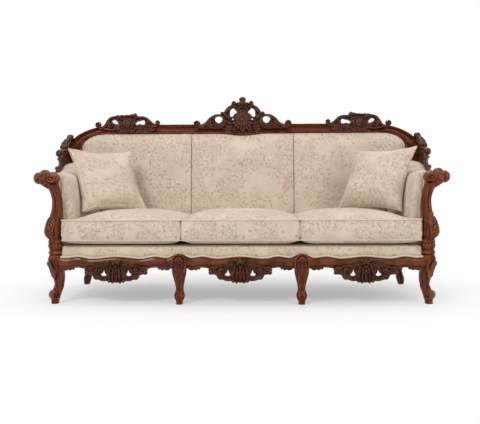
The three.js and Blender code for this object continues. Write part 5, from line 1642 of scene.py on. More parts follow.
ROLL = (
    (0, 0.02), (0.01, 0.22), (0.04, 0.44), (0.1, 0.62), (0.17, 0.7), (0.22, 0.71), (0.255, 0.68),
    (0.3, 0.78), (0.37, 0.92), (0.45, 0.98), (0.52, 1), (0.59, 0.94), (0.65, 0.78), (0.68, 0.68),
    (0.71, 0.72), (0.78, 0.76), (0.88, 0.7), (0.97, 0.55), (1, 0.4))
SCROLL_REACH = 1081
SCROLL_LENGTH = 130
SCROLL_RADIUS = 44
SCROLL_Z = 659


SCROLL_BARREL = ((0, 0.75), (0.05, 0.95), (0.5, 1), (0.95, 0.95), (1, 0.75))
BARREL_HALF = 38


def arm_scroll():
    inner = SCROLL_REACH - SCROLL_LENGTH
    centre = (inner + 25, SCROLL_Z)
    shapes = [lathe_x(ROLL, SCROLL_REACH, inner, CORNER_Y, SCROLL_Z, SCROLL_RADIUS, steps=90,
                      ribs=8, rib_depth=0.018),
              lathe_y(SCROLL_BARREL, CORNER_Y - BARREL_HALF, CORNER_Y + BARREL_HALF,
                      *centre, 25),
              *volute(centre, 27, 1.5, 0.3 * math.pi, -1, CORNER_Y - 37, 10, 9, 10),
              ball((inner + 52, CORNER_Y + 12, POST_TOP + 6), (26, 28, 22)),
              leaf([(inner + 34, 640), (inner + 54, 628), (inner + 74, 612)],
                   CORNER_Y - 16, 24, 9, 3)]
    for angle in (-50, -10, 30, 70):
        turn = math.radians(angle)
        rows = []
        for x in np.linspace(1004, 1050, 24):
            reach = table(ROLL, [(SCROLL_REACH - x) / SCROLL_LENGTH])[0, 0] * SCROLL_RADIUS
            rows.append((x, CORNER_Y - reach * math.cos(turn), SCROLL_Z + reach * math.sin(turn)))
        t = np.linspace(0, 1, 24)
        shapes.append(strip(rows, facing(24, (0, -math.cos(turn), math.sin(turn))),
                            9 * np.sin(np.pi * (0.08 + 0.84 * t)),
                            3.2 * np.sin(np.pi * (0.05 + 0.9 * t)), groove_section(0.5), 11, 5))
    pair("arm_scroll_carved", fused("arm_scroll_carved_right", shapes, 1.7), post_wood,
         "arm_scroll")


# Soft pieces. The cushions and pads swell as simulated cloth, and the cushions get their piping
# after that; the other pieces keep the shape they are made in.

DECK_TOP = 306
LOWER_WELT = 334
UPPER_WELT = 438
CUSHION_CROWN = 40
SEAT_SPLIT = 309.5
SEAT_HALF_WIDTH = 885
EAR_HALF_WIDTH = 935
EAR_DEPTH = 80
CUSHION_FRONT = 4
CUSHION_BACK = 598
ARM_INNER = 889
ARM_BREAK = 450
ARM_TOP = 691
ARM_REAR_TOP = 762
BACK_SEAM = 320
PAD_BOTTOM = 312
BACK_SPRING = 822
PIPING = 3.7
swelling = []


EDGE_HALF = 290.0
EDGE_POWER = 3.0


def ripple(x, y, z, size, seed=0.0):
    """A small unevenness, from -1 to 1, that is the same each time."""
    return noise.noise(Vector((x / size + seed, y / size - seed, z / size)))


def cloth_mesh(name, points, faces, corners):
    """A mesh with its cloth map in metres, one pair for each corner of each face."""
    made = mesh_object(name, points, faces)
    layer = made.data.uv_layers.new(name="cloth")
    layer.data.foreach_set("uv", (np.array(corners, np.float32) * MM).ravel())
    return made


def border_of(cells):
    """The loops of edges round a set of cells, given as (i, j), anticlockwise."""
    following = {}
    for i, j in cells:
        for a, b, beside in (((i, j), (i + 1, j), (i, j - 1)),
                             ((i + 1, j), (i + 1, j + 1), (i + 1, j)),
                             ((i + 1, j + 1), (i, j + 1), (i, j + 1)),
                             ((i, j + 1), (i, j), (i - 1, j))):
            if beside not in cells:
                following[a] = b
    start = min(following, key=lambda at: (at[1], at[0]))
    loop = [start]
    while following[loop[-1]] != start:
        loop.append(following[loop[-1]])
    return loop


def rounded_loop(places, rounds):
    for _ in range(rounds):
        places = 0.5 * places + 0.25 * (np.roll(places, 1, axis=0) + np.roll(places, -1, axis=0))
    return places


def lengths_along(places):
    """How far along its line each place lies."""
    steps = np.linalg.norm(np.diff(places, axis=0), axis=1)
    return np.concatenate([[0], np.cumsum(steps)])


def rim_of(rows, columns):
    """The border of a grid, as (row, column), once round."""
    return ([(0, i) for i in range(columns)] + [(j, columns) for j in range(rows)]
            + [(rows, columns - i) for i in range(columns)]
            + [(rows - j, 0) for j in range(rows)])


def two_layers(rows, columns, at, map_at, from_behind=False):
    """A closed panel of a front and a back layer of points. at(layer, row, column) gives their
    places, and map_at(x, y, z) their places on the cloth."""
    size = (2, rows + 1, columns + 1)
    points = [at(*spot) for spot in np.ndindex(size)]
    front, back = np.arange(len(points)).reshape(size).tolist()
    faces = []
    for j in range(rows):
        for i in range(columns):
            faces.append((front[j][i], front[j][i + 1], front[j + 1][i + 1], front[j + 1][i]))
            faces.append((back[j][i], back[j + 1][i], back[j + 1][i + 1], back[j][i + 1]))
    ring = rim_of(rows, columns)
    for (j, i), (n, m) in zip(ring, ring[1:] + ring[:1]):
        faces.append((back[j][i], back[n][m], front[n][m], front[j][i]))
    if from_behind:
        faces = [(face[0], *face[:0:-1]) for face in faces]
    corners = [map_at(*points[k]) for face in faces for k in face]
    return points, faces, corners, front, back


def sewn_box(name, xs, ys, kept, top_at, bottom_at, bulge, rows=10, rounds=3, shift=(0, 0),
             crease=0.0):
    """A box cushion: a top, a bottom and a border. Returns the piece and its two seams."""
    cells = {(i, j) for i in range(len(xs) - 1) for j in range(len(ys) - 1)
             if kept((xs[i] + xs[i + 1]) / 2, (ys[j] + ys[j + 1]) / 2)}
    loop = border_of(cells)
    spots = {(i + a, j + b): (xs[i + a], ys[j + b])
             for i, j in cells for a in (0, 1) for b in (0, 1)}
    edge = rounded_loop(np.array([spots[at] for at in loop]), rounds)
    spots.update(zip(loop, map(tuple, edge)))
    points, faces, corners = [], [], []
    upper, lower = {}, {}
    for at, (x, y) in spots.items():
        for level, height in ((upper, top_at(x, y)), (lower, bottom_at(x, y))):
            level[at] = len(points)
            points.append((x, y, height))
    for i, j in sorted(cells):
        ring = [(i, j), (i + 1, j), (i + 1, j + 1), (i, j + 1)]
        for level, turn in ((upper, 1), (lower, -1)):
            faces.append(tuple(level[at] for at in ring[::turn]))
            corners += [(spots[at][0] + shift[0], turn * spots[at][1] + shift[1])
                        for at in ring[::turn]]
    ahead = np.roll(edge, -1, axis=0) - np.roll(edge, 1, axis=0)
    outward = unit(np.stack([ahead[:, 1], -ahead[:, 0]], axis=1))
    lengths = lengths_along(np.concatenate([edge, edge[:1]])) + edge[0, 0]
    columns = []
    for at, (x, y), out in zip(loop, edge, outward):
        low, high = points[lower[at]][2], points[upper[at]][2]
        column = [lower[at]]
        for k in range(1, rows):
            share = k / rows
            push = bulge * (1 - (2 * share - 1) ** 2) ** 0.7
            push -= crease if k in (1, rows - 1) else 0
            column.append(len(points))
            points.append((x + out[0] * push, y + out[1] * push, low + (high - low) * share))
        columns.append(column + [upper[at]])
    for k, column in enumerate(columns):
        beside = columns[(k + 1) % len(columns)]
        near, far = lengths[k] + shift[0], lengths[k + 1] + shift[0]
        for m in range(rows):
            faces.append((column[m], beside[m], beside[m + 1], column[m + 1]))
            low, high = [points[column[n]][2] + shift[1] for n in (m, m + 1)]
            corners += [(near, low), (far, low), (far, high), (near, high)]
    made = cloth_mesh(name, points, faces, corners)
    return made, [lower[at] for at in loop], [upper[at] for at in loop]


CLOTH = {"quality": 6, "mass": 0.25, "tension_stiffness": 12, "compression_stiffness": 12,
         "shear_stiffness": 4, "bending_stiffness": 0.3, "air_damping": 3,
         "use_pressure": True, "vertex_group_mass": "held", "pin_stiffness": 2}
SWELL_FRAMES = 20


def swell_later(made, held, pressure, cap, slack, after=None, swap=False):
    """Notes a piece that swells as cloth. held maps how firmly points stay, up to 1, to them.
    A piece to swap is made on the right and goes over to the left."""
    swelling.append((made, held, pressure, cap, slack, after, swap))


def add_cloth(made, held, pressure, slack):
    group = made.vertex_groups.new(name="held")
    for firmness, members in held.items():
        group.add([int(i) for i in members], firmness, "REPLACE")
    cloth = made.modifiers.new("cloth", "CLOTH")
    for key, value in CLOTH.items():
        setattr(cloth.settings, key, value)
    cloth.settings.uniform_pressure_force = pressure
    cloth.settings.effector_weights.gravity = 0
    cloth.settings.shrink_min = -slack
    cloth.collision_settings.use_collision = False


def subdivided(made):
    subdivide = made.modifiers.new("smooth", "SUBSURF")
    subdivide.levels = subdivide.render_levels = 1
    return applied(made)


def swell_all():
    """Steps the cloth of all soft pieces, caps how far each point moved and ends the pieces."""
    before = [places_of(made.data) for made, *_ in swelling]
    for made, held, pressure, _, slack, _, _ in swelling:
        add_cloth(made, held, pressure, slack)
    for number in range(1, SWELL_FRAMES + 1):
        bpy.context.scene.frame_set(number)
    for (made, _, _, cap, _, _, _), start in zip(swelling, before):
        applied(made)
        made.vertex_groups.clear()
        move = places_of(made.data) - start
        length = np.linalg.norm(move, axis=1, keepdims=True)
        limit = cap * MM
        capped = move * limit * np.tanh(length / limit) / np.maximum(length, 1e-9)
        set_places(made.data, start + capped)
    bpy.context.scene.frame_set(1)
    for made, *_, after, swap in swelling:
        if swap:
            go_left(made)
        if after:
            after(made)
        shade_smooth(subdivided(made).data)


def design_places(mesh):
    """The places of a mesh in this script's millimetres."""
    places = places_of(mesh)
    places[:, 1] -= FRONT
    return places / MM


def piping(name, path, body=BODY, radius=PIPING, closed=True, sides=10):
    """A sewn cord along a line, with its own cloth map."""
    path = np.array(path, float)
    count = len(path)
    if closed:
        ahead = unit(np.roll(path, -1, axis=0) - np.roll(path, 1, axis=0))
    else:
        ahead = unit(np.gradient(path, axis=0))
    steep = np.all(np.abs(ahead[:, 2]) > 0.8)
    side = np.cross(ahead, facing(count, (0.0, 1.0, 0.0) if steep else (0.0, 0.0, 1.0)))
    small = np.linalg.norm(side, axis=1) < 0.25
    side[small] = np.cross(ahead[small], (0.0, 1.0, 0.0))
    side = unit(side)
    over = np.cross(side, ahead)
    steps = lengths_along(path)
    around = [j * 2 * math.pi * radius / sides for j in range(sides + 1)]
    faces, corners = [], []
    points = [tuple(path[k] + radius * (math.cos(angle) * side[k] + math.sin(angle) * over[k]))
              for k in range(count) for angle in round_angles(sides)]
    for k in range(count if closed else count - 1):
        m = (k + 1) % count
        low, high = steps[k], steps[k] + 6 if m == 0 else steps[m]
        for j in range(sides):
            n = (j + 1) % sides
            faces.append((k * sides + j, k * sides + n, m * sides + n, m * sides + j))
            corners += [(low, around[j]), (low, around[j + 1]),
                        (high, around[j + 1]), (high, around[j])]
    if not closed:
        for row, turn in ((0, 1), (count - 1, -1)):
            faces.append(tuple(row * sides + j for j in range(sides))[::-turn])
            corners += [(0, j) for j in range(sides)]
    made = cloth_mesh(name, points, faces, corners)
    return finish_piece(made, plain_cloth, (), body)


SEAM_LIFT = 1.6


def finish_cover(made, name, body=BODY):
    """Ends a padded piece in the patterned cloth, which stands for the solid of that name."""
    return finish_piece(made, floral_cloth, [name], body)


def seam_piping(made, name, seam, body):
    """Piping round a seam of a swollen piece."""
    places = design_places(made.data)[seam]
    centre = places.mean(axis=0)
    places = rounded_loop(places, 2)
    outward = places - centre
    outward[:, 2] = 0
    piping(name, places + unit(outward) * SEAM_LIFT, body)


# Seat cushions

def edge_rise(distance, half=EDGE_HALF, power=EDGE_POWER):
    """Rises from 0 at an edge to 1 at a distance of half."""
    return 1 - (1 - min(1.0, max(0.0, distance / half))) ** power


def right_distance(x, y, right, ear):
    """How far a place lies from the right edge of a seat cushion, which may have an ear."""
    if not ear:
        return right - x
    if y >= EAR_DEPTH:
        return SEAT_HALF_WIDTH - x
    notch = EAR_DEPTH - y
    if x <= SEAT_HALF_WIDTH:
        notch = math.hypot(SEAT_HALF_WIDTH - x, notch)
    return min(EAR_HALF_WIDTH - x, notch * 1.4)


CUSHION_STEP = 9.0
CUSHION_GAP = 1.8


def seat_cushion(name, left, right, ear, seed, swap=False):
    xs = np.linspace(left, right, round((right - left) / CUSHION_STEP) + 1)
    if ear:
        xs = np.concatenate([xs, np.linspace(right, EAR_HALF_WIDTH, 7)[1:]])
    ys = np.concatenate([np.linspace(CUSHION_FRONT, EAR_DEPTH, 10),
                         np.linspace(EAR_DEPTH, CUSHION_BACK, 58)[1:]])

    def kept(x, y):
        return x < right or y < EAR_DEPTH

    def rise(x, y, half, power):
        away = right_distance(x, y, right, ear)
        return (edge_rise(x - left, half, power) * edge_rise(away, half, power)
                * edge_rise(y - CUSHION_FRONT, half, power)
                * edge_rise(CUSHION_BACK - y, half, power))

    def top_at(x, y):
        return (UPPER_WELT + CUSHION_CROWN * rise(x, y, EDGE_HALF, EDGE_POWER)
                + 1.6 * ripple(x, y, 0, 150, seed) * rise(x, y, 80, 2))

    def bottom_at(x, y):
        return LOWER_WELT - (LOWER_WELT - DECK_TOP - 3) * rise(x, y, 90, 3)

    made, low, high = sewn_box(name + "_cover", xs, ys, kept, top_at, bottom_at, 4.0,
                               shift=(seed * 431, seed * 233), crease=3.4)
    heights = design_places(made.data)[:, 2]
    seams = set(low) | set(high)
    under = [i for i in range(len(heights))
             if i not in seams and heights[i] < LOWER_WELT - 14]

    def after(piece):
        seam_piping(piece, name + "_piping_upper", high, name)
        seam_piping(piece, name + "_piping_lower", low, name)

    swell_later(made, {1.0: sorted(seams), 0.9: under}, 3.0, 7.0, 0.012, after, swap)
    return finish_cover(made, name, name)


def seat_cushions():
    inner, outer = SEAT_SPLIT - CUSHION_GAP, SEAT_SPLIT + CUSHION_GAP
    seat_cushion("seat_cushion_centre", -SEAT_SPLIT + CUSHION_GAP, inner, False, 0.3)
    seat_cushion("seat_cushion_right", outer, SEAT_HALF_WIDTH, True, 1.7)
    seat_cushion("seat_cushion_left", outer, SEAT_HALF_WIDTH, True, 3.1, True)


# The tight back in three panels

def side_line(z):
    """Half width of the back between the arms, and above them inside the frame."""
    slope = (BACK_HALF_WIDTH - ARM_INNER) / (BACK_SPRING - ARM_BREAK)
    return min(ARM_INNER + slope * max(0.0, z - ARM_BREAK), opening_half_width(z))


def opening_half_width(z):
    """Half width of the opening inside the top rail and the stiles."""
    springline = BACK_TOP - CORNER_HEIGHT
    if z <= springline:
        return BACK_HALF_WIDTH
    rise = min(1.0, (z - springline) / CORNER_HEIGHT)
    return BACK_HALF_WIDTH - CORNER_REACH + CORNER_REACH * math.sqrt(max(0.0, 1 - rise * rise))


def pad_depth(to_seam, to_edge, to_top, to_bottom):
    """How far the pad stands forward, from the distances to its edges."""
    roll = 1.0
    for distance in (to_edge, to_top):
        roll *= edge_rise(distance, 75, 2.6)
    seam = 1.0
    for distance in to_seam:
        seam *= 0.7 + 0.3 * edge_rise(distance, 30, 2.4)
    belly = edge_rise(min(to_edge, to_top, *to_seam) if to_seam else to_top, 260, 2.0)
    return -(1.5 + 19 * roll * seam + 8 * belly * roll) * (0.4 + 0.6 * edge_rise(to_bottom, 40, 2))


PAD_ROWS = 72
PAD_COLUMNS = 70
PAD_GAP = 1.5
PAD_LOWER_ROWS = 14


def eased(share):
    """Draws even steps closer together towards both ends."""
    return share + 0.35 * (0.5 - 0.5 * math.cos(math.pi * share) - share)


def back_pad(name, outer, seed, swap=False):
    """One panel of the tight back: the middle one, or an outer one, made on the right."""
    top_edge = BACK_TOP - PAD_GAP

    def at(layer, j, i):
        up = eased(j / PAD_ROWS)
        nominal = PAD_BOTTOM + (top_edge - PAD_BOTTOM) * up
        left = BACK_SEAM + 0.2 if outer else -BACK_SEAM + 0.2
        right = BACK_SEAM - 0.2
        if outer:
            right = min(side_line(nominal) - 0.6,
                        opening_half_width(nominal + PAD_GAP) - PAD_GAP)
        x = left + (right - left) * eased(i / PAD_COLUMNS)
        top = top_edge - (0 if outer else dip_at(x) + 1)
        z = PAD_BOTTOM + (top - PAD_BOTTOM) * up
        if layer:
            return x, 10, z
        seams = [x - left] if outer else [x - left, right - x]
        near = min(seams)
        y = pad_depth(seams, right - x if outer else 500, top - z, z - PAD_BOTTOM)
        y -= 1.8 * ripple(x, 0, z, 170, seed) * edge_rise(near, 60)
        y -= 1.6 * ripple(x / 4, 0, z, 26, seed) * math.exp(-near / 22) * edge_rise(near, 8)
        return x, y, z

    points, faces, corners, front, back = two_layers(
        PAD_ROWS, PAD_COLUMNS, at, lambda x, y, z: (x + seed * 377, z + seed * 191))
    made = cloth_mesh(name + "_cover", raked([(points, faces)])[0][0], faces, corners)
    held = {front[j][i] for j, i in rim_of(PAD_ROWS, PAD_COLUMNS)}
    held |= {i for row in back for i in row}
    lower = [i for row in front[:PAD_LOWER_ROWS] for i in row if i not in held]
    swell_later(made, {1.0: sorted(held), 0.7: lower}, 3.0, 9.0, 0.012, swap=swap)
    return finish_cover(made, name)


def back_pads():
    back_pad("back_pad_centre", False, 0.4)
    back_pad("back_pad_right", True, 1.3)
    back_pad("back_pad_left", True, 2.2, True)


# Knife-edge cushions that lean in the corners

SCATTER_SIZE = 405
SCATTER_THICKNESS = 144
SCATTER_YAW = 40
SCATTER_LEAN = 27.5
SCATTER_DRAW = 0.125


SCATTER_STEPS = 46


def scatter_cushion(name, side, seed):
    """A square cushion. side is 1 on the right and -1 on the left."""
    steps = SCATTER_STEPS
    half = SCATTER_SIZE / 2
    points, faces, corners = [], [], []
    spots = {}
    for layer, j, i in np.ndindex(2, steps + 1, steps + 1):
        face = 1 - 2 * layer
        rim = i in (0, steps) or j in (0, steps)
        if rim and face < 0:
            spots[(face, i, j)] = spots[(1, i, j)]
            continue
        u, v = 2 * i / steps - 1, 2 * j / steps - 1
        drawn_u = u * half * (1 - SCATTER_DRAW * (1 - v * v) * abs(u) ** 3)
        drawn_v = v * half * (1 - SCATTER_DRAW * (1 - u * u) * abs(v) ** 3)
        height = 0
        if not rim:
            fill = (1 - u ** 4) * (1 - v ** 4)
            gather = math.exp(-half * min(1 - abs(u), 1 - abs(v)) / 30)
            along = drawn_v if abs(u) > abs(v) else drawn_u
            height = face * SCATTER_THICKNESS / 2 * 0.8 * fill ** 0.75
            height += 2.5 * ripple(drawn_u, drawn_v, face * 60, 90, seed) * fill
            height += face * 4.5 * ripple(along, face * 40, 0, 24, seed) * gather
        spots[(face, i, j)] = len(points)
        points.append((drawn_u, drawn_v, height))
    for face in (1, -1):
        for j in range(steps):
            for i in range(steps):
                ring = [(i, j), (i + 1, j), (i + 1, j + 1), (i, j + 1)][::face]
                square = [spots[(face, *at)] for at in ring]
                faces.append(tuple(square))
                corners += [(a * SCATTER_SIZE / steps + seed * 317,
                             face * b * SCATTER_SIZE / steps + seed * 211) for a, b in ring]
    lean = Matrix.Rotation(math.radians(90 - SCATTER_LEAN), 3, "X")
    yaw = Matrix.Rotation(math.radians(-SCATTER_YAW * side), 3, "Z")
    low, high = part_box(name)
    centre = (low + high) / 2
    place = np.array(points) @ np.array(yaw @ lean).T
    place += np.array([centre.x, centre.y - FRONT, centre.z]) / MM
    made = cloth_mesh(name + "_cover", place, faces, corners)
    loop = [spots[(1, i, j)] for j, i in rim_of(steps, steps)]

    def after(piece):
        path = rounded_loop(design_places(piece.data)[loop], 1)
        piping(name + "_edge", path, name, 1.6, sides=8)

    swell_later(made, {0.5: sorted(loop)}, 5.0, 14.0, 0.03, after)
    return finish_cover(made, name, name)


# Arms

ARM_FRONT_TOP_INNER = 911
ARM_FRONT_TOP_OUTER = 1000
ARM_REAR_TOP_OUTER = 1100
ARM_OUTER_BOTTOM = 982.6
ARM_ROLL = 32
ARM_RISE = ((0, 0), (0.35, 0.02), (0.6, 0.35), (0.85, 0.9), (1, 1))


def back_front(z):
    """How far back the front plane of the back frame stands at a height."""
    return BACK_PLANE + BACK_RAKE * (z - RAIL_TOP)


def arm_outer_top(share):
    """Where the outer side of the arm's roll stands, at a share of the arm's length."""
    reach = ARM_REAR_TOP_OUTER - ARM_FRONT_TOP_OUTER
    return ARM_FRONT_TOP_OUTER + reach * math.sin(share * math.pi / 2)


def arm_top_at(share):
    return ARM_TOP + (ARM_REAR_TOP - ARM_TOP) * table(ARM_RISE, [share])[0, 0]


def arm_section(share):
    """The arm's outline at a share of its length, from inner foot over the roll to outer foot."""
    shoulder = arm_top_at(share) - ARM_ROLL
    rear_inner = side_line(shoulder) - 2
    inner_top = ARM_FRONT_TOP_INNER + (rear_inner - ARM_FRONT_TOP_INNER) * share
    outer_top = arm_outer_top(share)
    rows = [(ARM_INNER, DECK_TOP - 40), (ARM_INNER, 380), (ARM_INNER + 1, ARM_BREAK)]
    rows += [(ARM_INNER + (inner_top - ARM_INNER) * t ** 1.4,
              ARM_BREAK + (shoulder - ARM_BREAK) * t) for t in (0.35, 0.7)]
    for k in range(9):
        angle = math.pi - k / 8 * math.pi
        rows.append(((inner_top + outer_top) / 2 + (outer_top - inner_top) / 2 * math.cos(angle),
                     shoulder + ARM_ROLL * math.sin(angle)))
    rows += [(outer_top - 3, shoulder - 12), (outer_top - 14, shoulder - 17),
             (outer_top - 20, shoulder - 40), (ARM_OUTER_BOTTOM + 4, 420),
             (ARM_OUTER_BOTTOM, DECK_TOP - 40)]
    return spline(rows, 84)


ARM_MIDDLE = 936


def spine_of(section, share):
    """For each point of an arm's section, the place inside the arm that it lies round."""
    shoulder = arm_top_at(share) - ARM_ROLL
    middle = (section[:, 0].max() + section[section[:, 1] > shoulder][:, 0].min()) / 2
    heights = np.clip(section[:, 1], DECK_TOP, shoulder)
    lean = (heights - DECK_TOP) / (shoulder - DECK_TOP)
    return np.stack([ARM_MIDDLE + (middle - ARM_MIDDLE) * lean ** 1.5, heights], axis=1)


PAD_FRONT = 69


def arm_start(z):
    """Front of the arm pad: it wraps the post above the seat cushion."""
    share = min(1.0, max(0.0, (z - 540) / 50))
    return ARM_FRONT + (PAD_FRONT - ARM_FRONT) * share


PAD_ROUNDING = 13


def arm_pad(name, seed, swap=False):
    """The padded arm: its front face, a rounded edge and the run to the back."""
    rings, maps = [], []
    section = arm_section(0)
    spine = spine_of(section, 0)
    ends = [(section + (spine - section) * share, -8 * math.sin(share * math.pi / 2))
            for share in (0.92, 0.8, 0.62, 0.44, 0.3, 0.2)]
    for turn in map(math.radians, (20, 45, 70)):
        inward = unit(spine - section) * PAD_ROUNDING * (1 - math.sin(turn))
        ends.append((section + inward, PAD_ROUNDING * (1 - math.cos(turn))))
    for ring, step in ends:
        rings.append([(x, arm_start(z) + 3 + step, z) for x, z in ring])
        maps.append([(x, z) for x, z in ring])
    seam_ring = len(rings) - 3
    around = lengths_along(section)
    for share in np.linspace(0.035, 1, 54):
        place = []
        for x, z in arm_section(min(1.0, share / 0.94)):
            y = arm_start(z) + (back_front(z) - 1.5 - arm_start(z)) * share
            place.append((x + 1.5 * ripple(x, y, z, 120, seed), y, z))
        rings.append(place)
        maps.append([(a, ARM_FRONT + 600 * share) for a in around])
    points, faces = loft(rings)
    count = len(section)
    corners = []
    for index in (index for face in faces for index in face):
        row, column = divmod(min(index, len(rings) * count - 1), count)
        u, v = maps[row][column]
        corners.append((u + seed * 291, v + seed * 173))
    made = cloth_mesh(name + "_cover", points, faces, corners)
    held = {row * count + i for row in range(len(rings)) for i in range(count)
            if row in (0, len(rings) - 1, seam_ring) or i < 14 or i > count - 16}
    held |= {len(points) - 1, len(points) - 2}
    swell_later(made, {1.0: sorted(held)}, 3.0, 6.0, 0.01, swap=swap)
    return finish_cover(made, name)


# The seat's border and the piping along the rail

DECK_LEAN = 15


DECK_REAR = 628
RAIL_PIPING = 5.0


def seat_deck():
    wide, narrow = CORNER_X - POST_WIDTH / 2 - 1.5, ARM_INNER - 1.5
    front = LIP_THICKNESS + 9
    xs = np.concatenate([np.linspace(-wide, -narrow, 6), np.linspace(-narrow, narrow, 150)[1:],
                         np.linspace(narrow, wide, 6)[1:]])
    ys = np.concatenate([np.linspace(front, EAR_DEPTH, 8),
                         np.linspace(EAR_DEPTH, DECK_REAR, 30)[1:]])

    def kept(x, y):
        return abs(x) < narrow or y < EAR_DEPTH

    def top_at(x, y):
        return DECK_TOP - 7 + 6 * edge_rise(min(y - front, DECK_REAR - y), 60, 3)

    def bottom_at(x, y):
        return RAIL_TOP + 5.5

    made, low, high = sewn_box("seat_deck_cover", xs, ys, kept, top_at, bottom_at, 3.5, rows=8,
                               rounds=2, shift=(57, 83))
    places = design_places(made.data)
    up = np.clip((places[:, 2] - RAIL_TOP) / (DECK_TOP - RAIL_TOP), 0, 1)
    gathers = np.array([ripple(x, z * 0.4, 5, 42, 6.3) + 0.6 * ripple(x, z, 5, 120, 2.1)
                        for x, _, z in places])
    near = np.clip(1 - (places[:, 1] - front) / 30, 0, 1)
    places[:, 1] += near * (DECK_LEAN * up ** 1.5 + 2.6 * gathers * np.sin(np.pi * up))
    set_places(made.data, metres(places))
    subdivided(finish_cover(made, "seat_deck"))
    inner, outer = MIDDLE_X - 30, MIDDLE_X + 30
    for side, start, end in (("left", -940, -outer), ("centre", -inner, inner),
                             ("right", outer, 940)):
        path = [(x, 4.4, rail_upper(x) + 4.4) for x in np.linspace(start, end, 110)]
        piping("seat_rail_piping_" + side, path, radius=RAIL_PIPING, closed=False)


PANEL_TUCK = 12
PANEL_REAR = 0.94


OUTSIDE_ROWS = 44
OUTSIDE_COLUMNS = 56
OUTSIDE_FRONT = ARM_FRONT - 14


def arm_outside(name, side):
    """The covered outer side of an arm, drawn tight over its frame, with piping round it."""

    def at(layer, j, i):
        up, along = j / OUTSIDE_ROWS, i / OUTSIDE_COLUMNS
        share = min(1.0, along / PANEL_REAR)
        low_x, low_z = ARM_OUTER_BOTTOM + 1, LEG_HEIGHT + 1
        high_x = arm_outer_top(share) - PANEL_TUCK
        high_z = arm_top_at(share) - ARM_ROLL - PANEL_TUCK - 0.5
        x, z = low_x + (high_x - low_x) * up, low_z + (high_z - low_z) * up
        y = OUTSIDE_FRONT + (back_front(z) - 2 - OUTSIDE_FRONT) * along
        if layer:
            return x + 0.5, y, z
        inside = (edge_rise(min(along, 1 - along) * 600, 60, 2.4)
                  * edge_rise(min(up, 1 - up) * 450, 60, 2.4))
        return x + (3.5 + 5.5 * inside + 1.3 * ripple(y, z, 3, 110, 4.2) * inside), y, z

    points, faces, corners, outer, _ = two_layers(
        OUTSIDE_ROWS, OUTSIDE_COLUMNS, at, lambda x, y, z: (y + side * 517, z + 91))
    made = cloth_mesh(name + "_cover", points, faces, corners)
    rim = rim_of(OUTSIDE_ROWS, OUTSIDE_COLUMNS)
    path = rounded_loop(np.array([points[outer[j][i]] for j, i in rim]), 3)
    if side < 0:
        go_left(made)
        path[:, 0] *= -1
    finish_cover(made, name)
    piping(name + "_piping", path, radius=2.8)


ARM_RAIL_FRONT = 82
ARM_RAIL_REAR = 680
ARM_RAIL_SECTION = ((-18, -16), (-16, -18), (16, -18), (18, -16), (18, 16), (16, 18),
                    (-16, 18), (-18, 16))


def arm_rail():
    """The wooden rail inside the arm, under its cloth."""
    rings = []
    for share in np.linspace(0, 1, 40):
        x = arm_outer_top(share) - (41 + 20.5 * share)
        z = arm_top_at(share) - 70
        y = ARM_RAIL_FRONT + (ARM_RAIL_REAR - ARM_RAIL_FRONT) * share
        rings.append([(x + i, y, z + k) for i, k in ARM_RAIL_SECTION])
    pair("arm_rail_core", mesh_object("arm_rail_core_right", *loft(rings)), frame_wood,
         "arm_rail")


OUTSIDE_BOTTOM = 214
OUTSIDE_DEPTH = 31
OUTSIDE_LOW_HALF = 943


def outside_half(z):
    """Half width of the covered back at a height."""
    share = min(1.0, max(0.0, (z - LEG_HEIGHT) / (CREST_END - LEG_HEIGHT)))
    return min(OUTSIDE_LOW_HALF + (BACK_HALF_WIDTH - 1.5 - OUTSIDE_LOW_HALF) * share,
               opening_half_width(z + 1.5) - 1.5)


BEHIND_ROWS = 76
BEHIND_COLUMNS = 168
OUTSIDE_TOP = BACK_TOP - 2


def back_outside():
    """The covered back of the sofa: three panels with seams between them."""

    def at(layer, j, i):
        up = (j / BEHIND_ROWS) ** 0.8
        level = OUTSIDE_BOTTOM + (OUTSIDE_TOP - OUTSIDE_BOTTOM) * up
        half = outside_half(level)
        x = half * (2 * i / BEHIND_COLUMNS - 1)
        z = min(level, OUTSIDE_TOP - dip_at(x)) if up > 0.9 else level
        if layer:
            return x, OUTSIDE_DEPTH - 1, z
        to_edge = min(half - abs(x), level - OUTSIDE_BOTTOM, OUTSIDE_TOP - level)
        to_seam = min(abs(abs(x) - BACK_SEAM), 400)
        full = edge_rise(to_edge, 70, 2.4) * (0.35 + 0.65 * edge_rise(to_seam, 40, 2.4))
        return x, OUTSIDE_DEPTH + 2 + 6 * full + 1.2 * ripple(x, z, 9, 140, 2.7) * full, z

    points, faces, corners, outer, _ = two_layers(
        BEHIND_ROWS, BEHIND_COLUMNS, at, lambda x, y, z: (x + 133, z + 77), from_behind=True)
    made = cloth_mesh("back_outside_cover", raked([(points, faces)])[0][0], faces, corners)
    finish_cover(made, "back_outside")
    ring = np.array([points[outer[j][i]] for j, i in rim_of(BEHIND_ROWS, BEHIND_COLUMNS)])
    rim = rounded_loop(ring + (0, 1.5, 0), 2)
    piping("back_outside_piping", raked([(rim, [])])[0][0], radius=3.0)


DUST_HALF = 969
DUST_FRONT = 36
DUST_REAR = 626
DUST_NOTCH = (30, 32)
DUST_LEVEL = 188.6


DUST_SHEET = 0.8


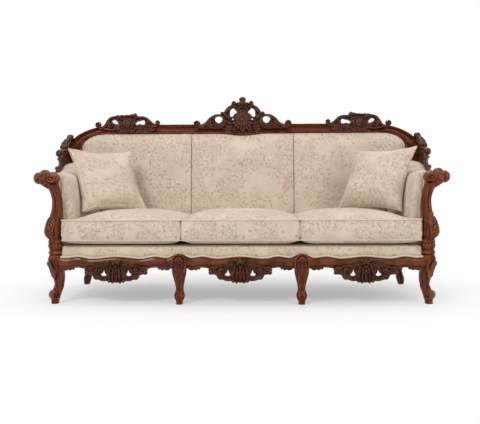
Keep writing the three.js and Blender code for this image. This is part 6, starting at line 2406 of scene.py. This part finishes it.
def dust_cover():
    """Black cloth tacked up under the seat, with its corners cut round the legs."""
    side, end = DUST_NOTCH
    xs = [-DUST_HALF, *np.linspace(side - DUST_HALF, DUST_HALF - side, 90), DUST_HALF]
    ys = [DUST_FRONT, *np.linspace(DUST_FRONT + end, DUST_REAR - end, 28), DUST_REAR]
    spots, points, faces = {}, [], []
    for i, j in np.ndindex(len(xs) - 1, len(ys) - 1):
        if i in (0, len(xs) - 2) and j in (0, len(ys) - 2):
            continue
        for at in ((i, j), (i + 1, j), (i + 1, j + 1), (i, j + 1)):
            if at not in spots:
                x, y = xs[at[0]], ys[at[1]]
                to_edge = min(DUST_HALF - abs(x), y - DUST_FRONT, DUST_REAR - y)
                sag = (2.4 + 1.2 * ripple(x, y, 0, 130, 7)) * edge_rise(to_edge, 200, 2)
                spots[at] = len(points)
                points.append((x, y, DUST_LEVEL - sag))
        faces.append((spots[i, j], spots[i, j + 1], spots[i + 1, j + 1], spots[i + 1, j]))
    made = mesh_object("dust_cover_cloth", points, faces)
    shell = made.modifiers.new("thickness", "SOLIDIFY")
    shell.thickness = DUST_SHEET * MM
    shell.offset = 0
    applied(made)
    finish_piece(made, cambric, ["dust_cover"])


def soft_goods():
    arm_outside("arm_outside_right", 1)
    arm_outside("arm_outside_left", -1)
    arm_rail()
    back_outside()
    dust_cover()
    seat_cushions()
    back_pads()
    arm_pad("arm_pad_right", 0.7)
    arm_pad("arm_pad_left", 1.9, True)
    scatter_cushion("scatter_cushion_right", 1, 0.6)
    scatter_cushion("scatter_cushion_left", -1, 1.4)
    seat_deck()
    swell_all()


def material_for(node):
    if node == "back_seat_rail":
        # Painted shade: the back seat rail under the seat gets the dark beech.
        return shaded_beech_wood
    if node.startswith("side_rail"):
        return side_wood
    slots = {row["node"]: row["material_slot"] for row in frame["record"]["subparts"]}
    kinds = {"show_wood": post_wood, "carved_wood": carved_wood, "frame_wood": frame_wood,
             "floral_fabric": floral_cloth, "spring_steel": steel, "dust_cloth": cambric}
    return kinds[slots[node]]


EASED_EDGE = 2.2


def dress_frame():
    """Gives each solid of the frame its material, and soft edges to what stays visible."""
    for name, node in frame["nodes"].items():
        node.data.materials.clear()
        node.data.materials.append(material_for(name))
        if not node.hide_render and "spring" not in name:
            edges = node.modifiers.new("eased_edges", "BEVEL")
            edges.width = EASED_EDGE * MM
            edges.segments = 3
            edges.limit_method = "ANGLE"
            edges.harden_normals = False


add_studio()
dress_frame()
crest_rail()
crest_centre()
crest_side()
aprons()
wing()
front_rail()
corner_leg()
middle_leg()
rear_leg()
arm_post()
arm_scroll()
soft_goods()
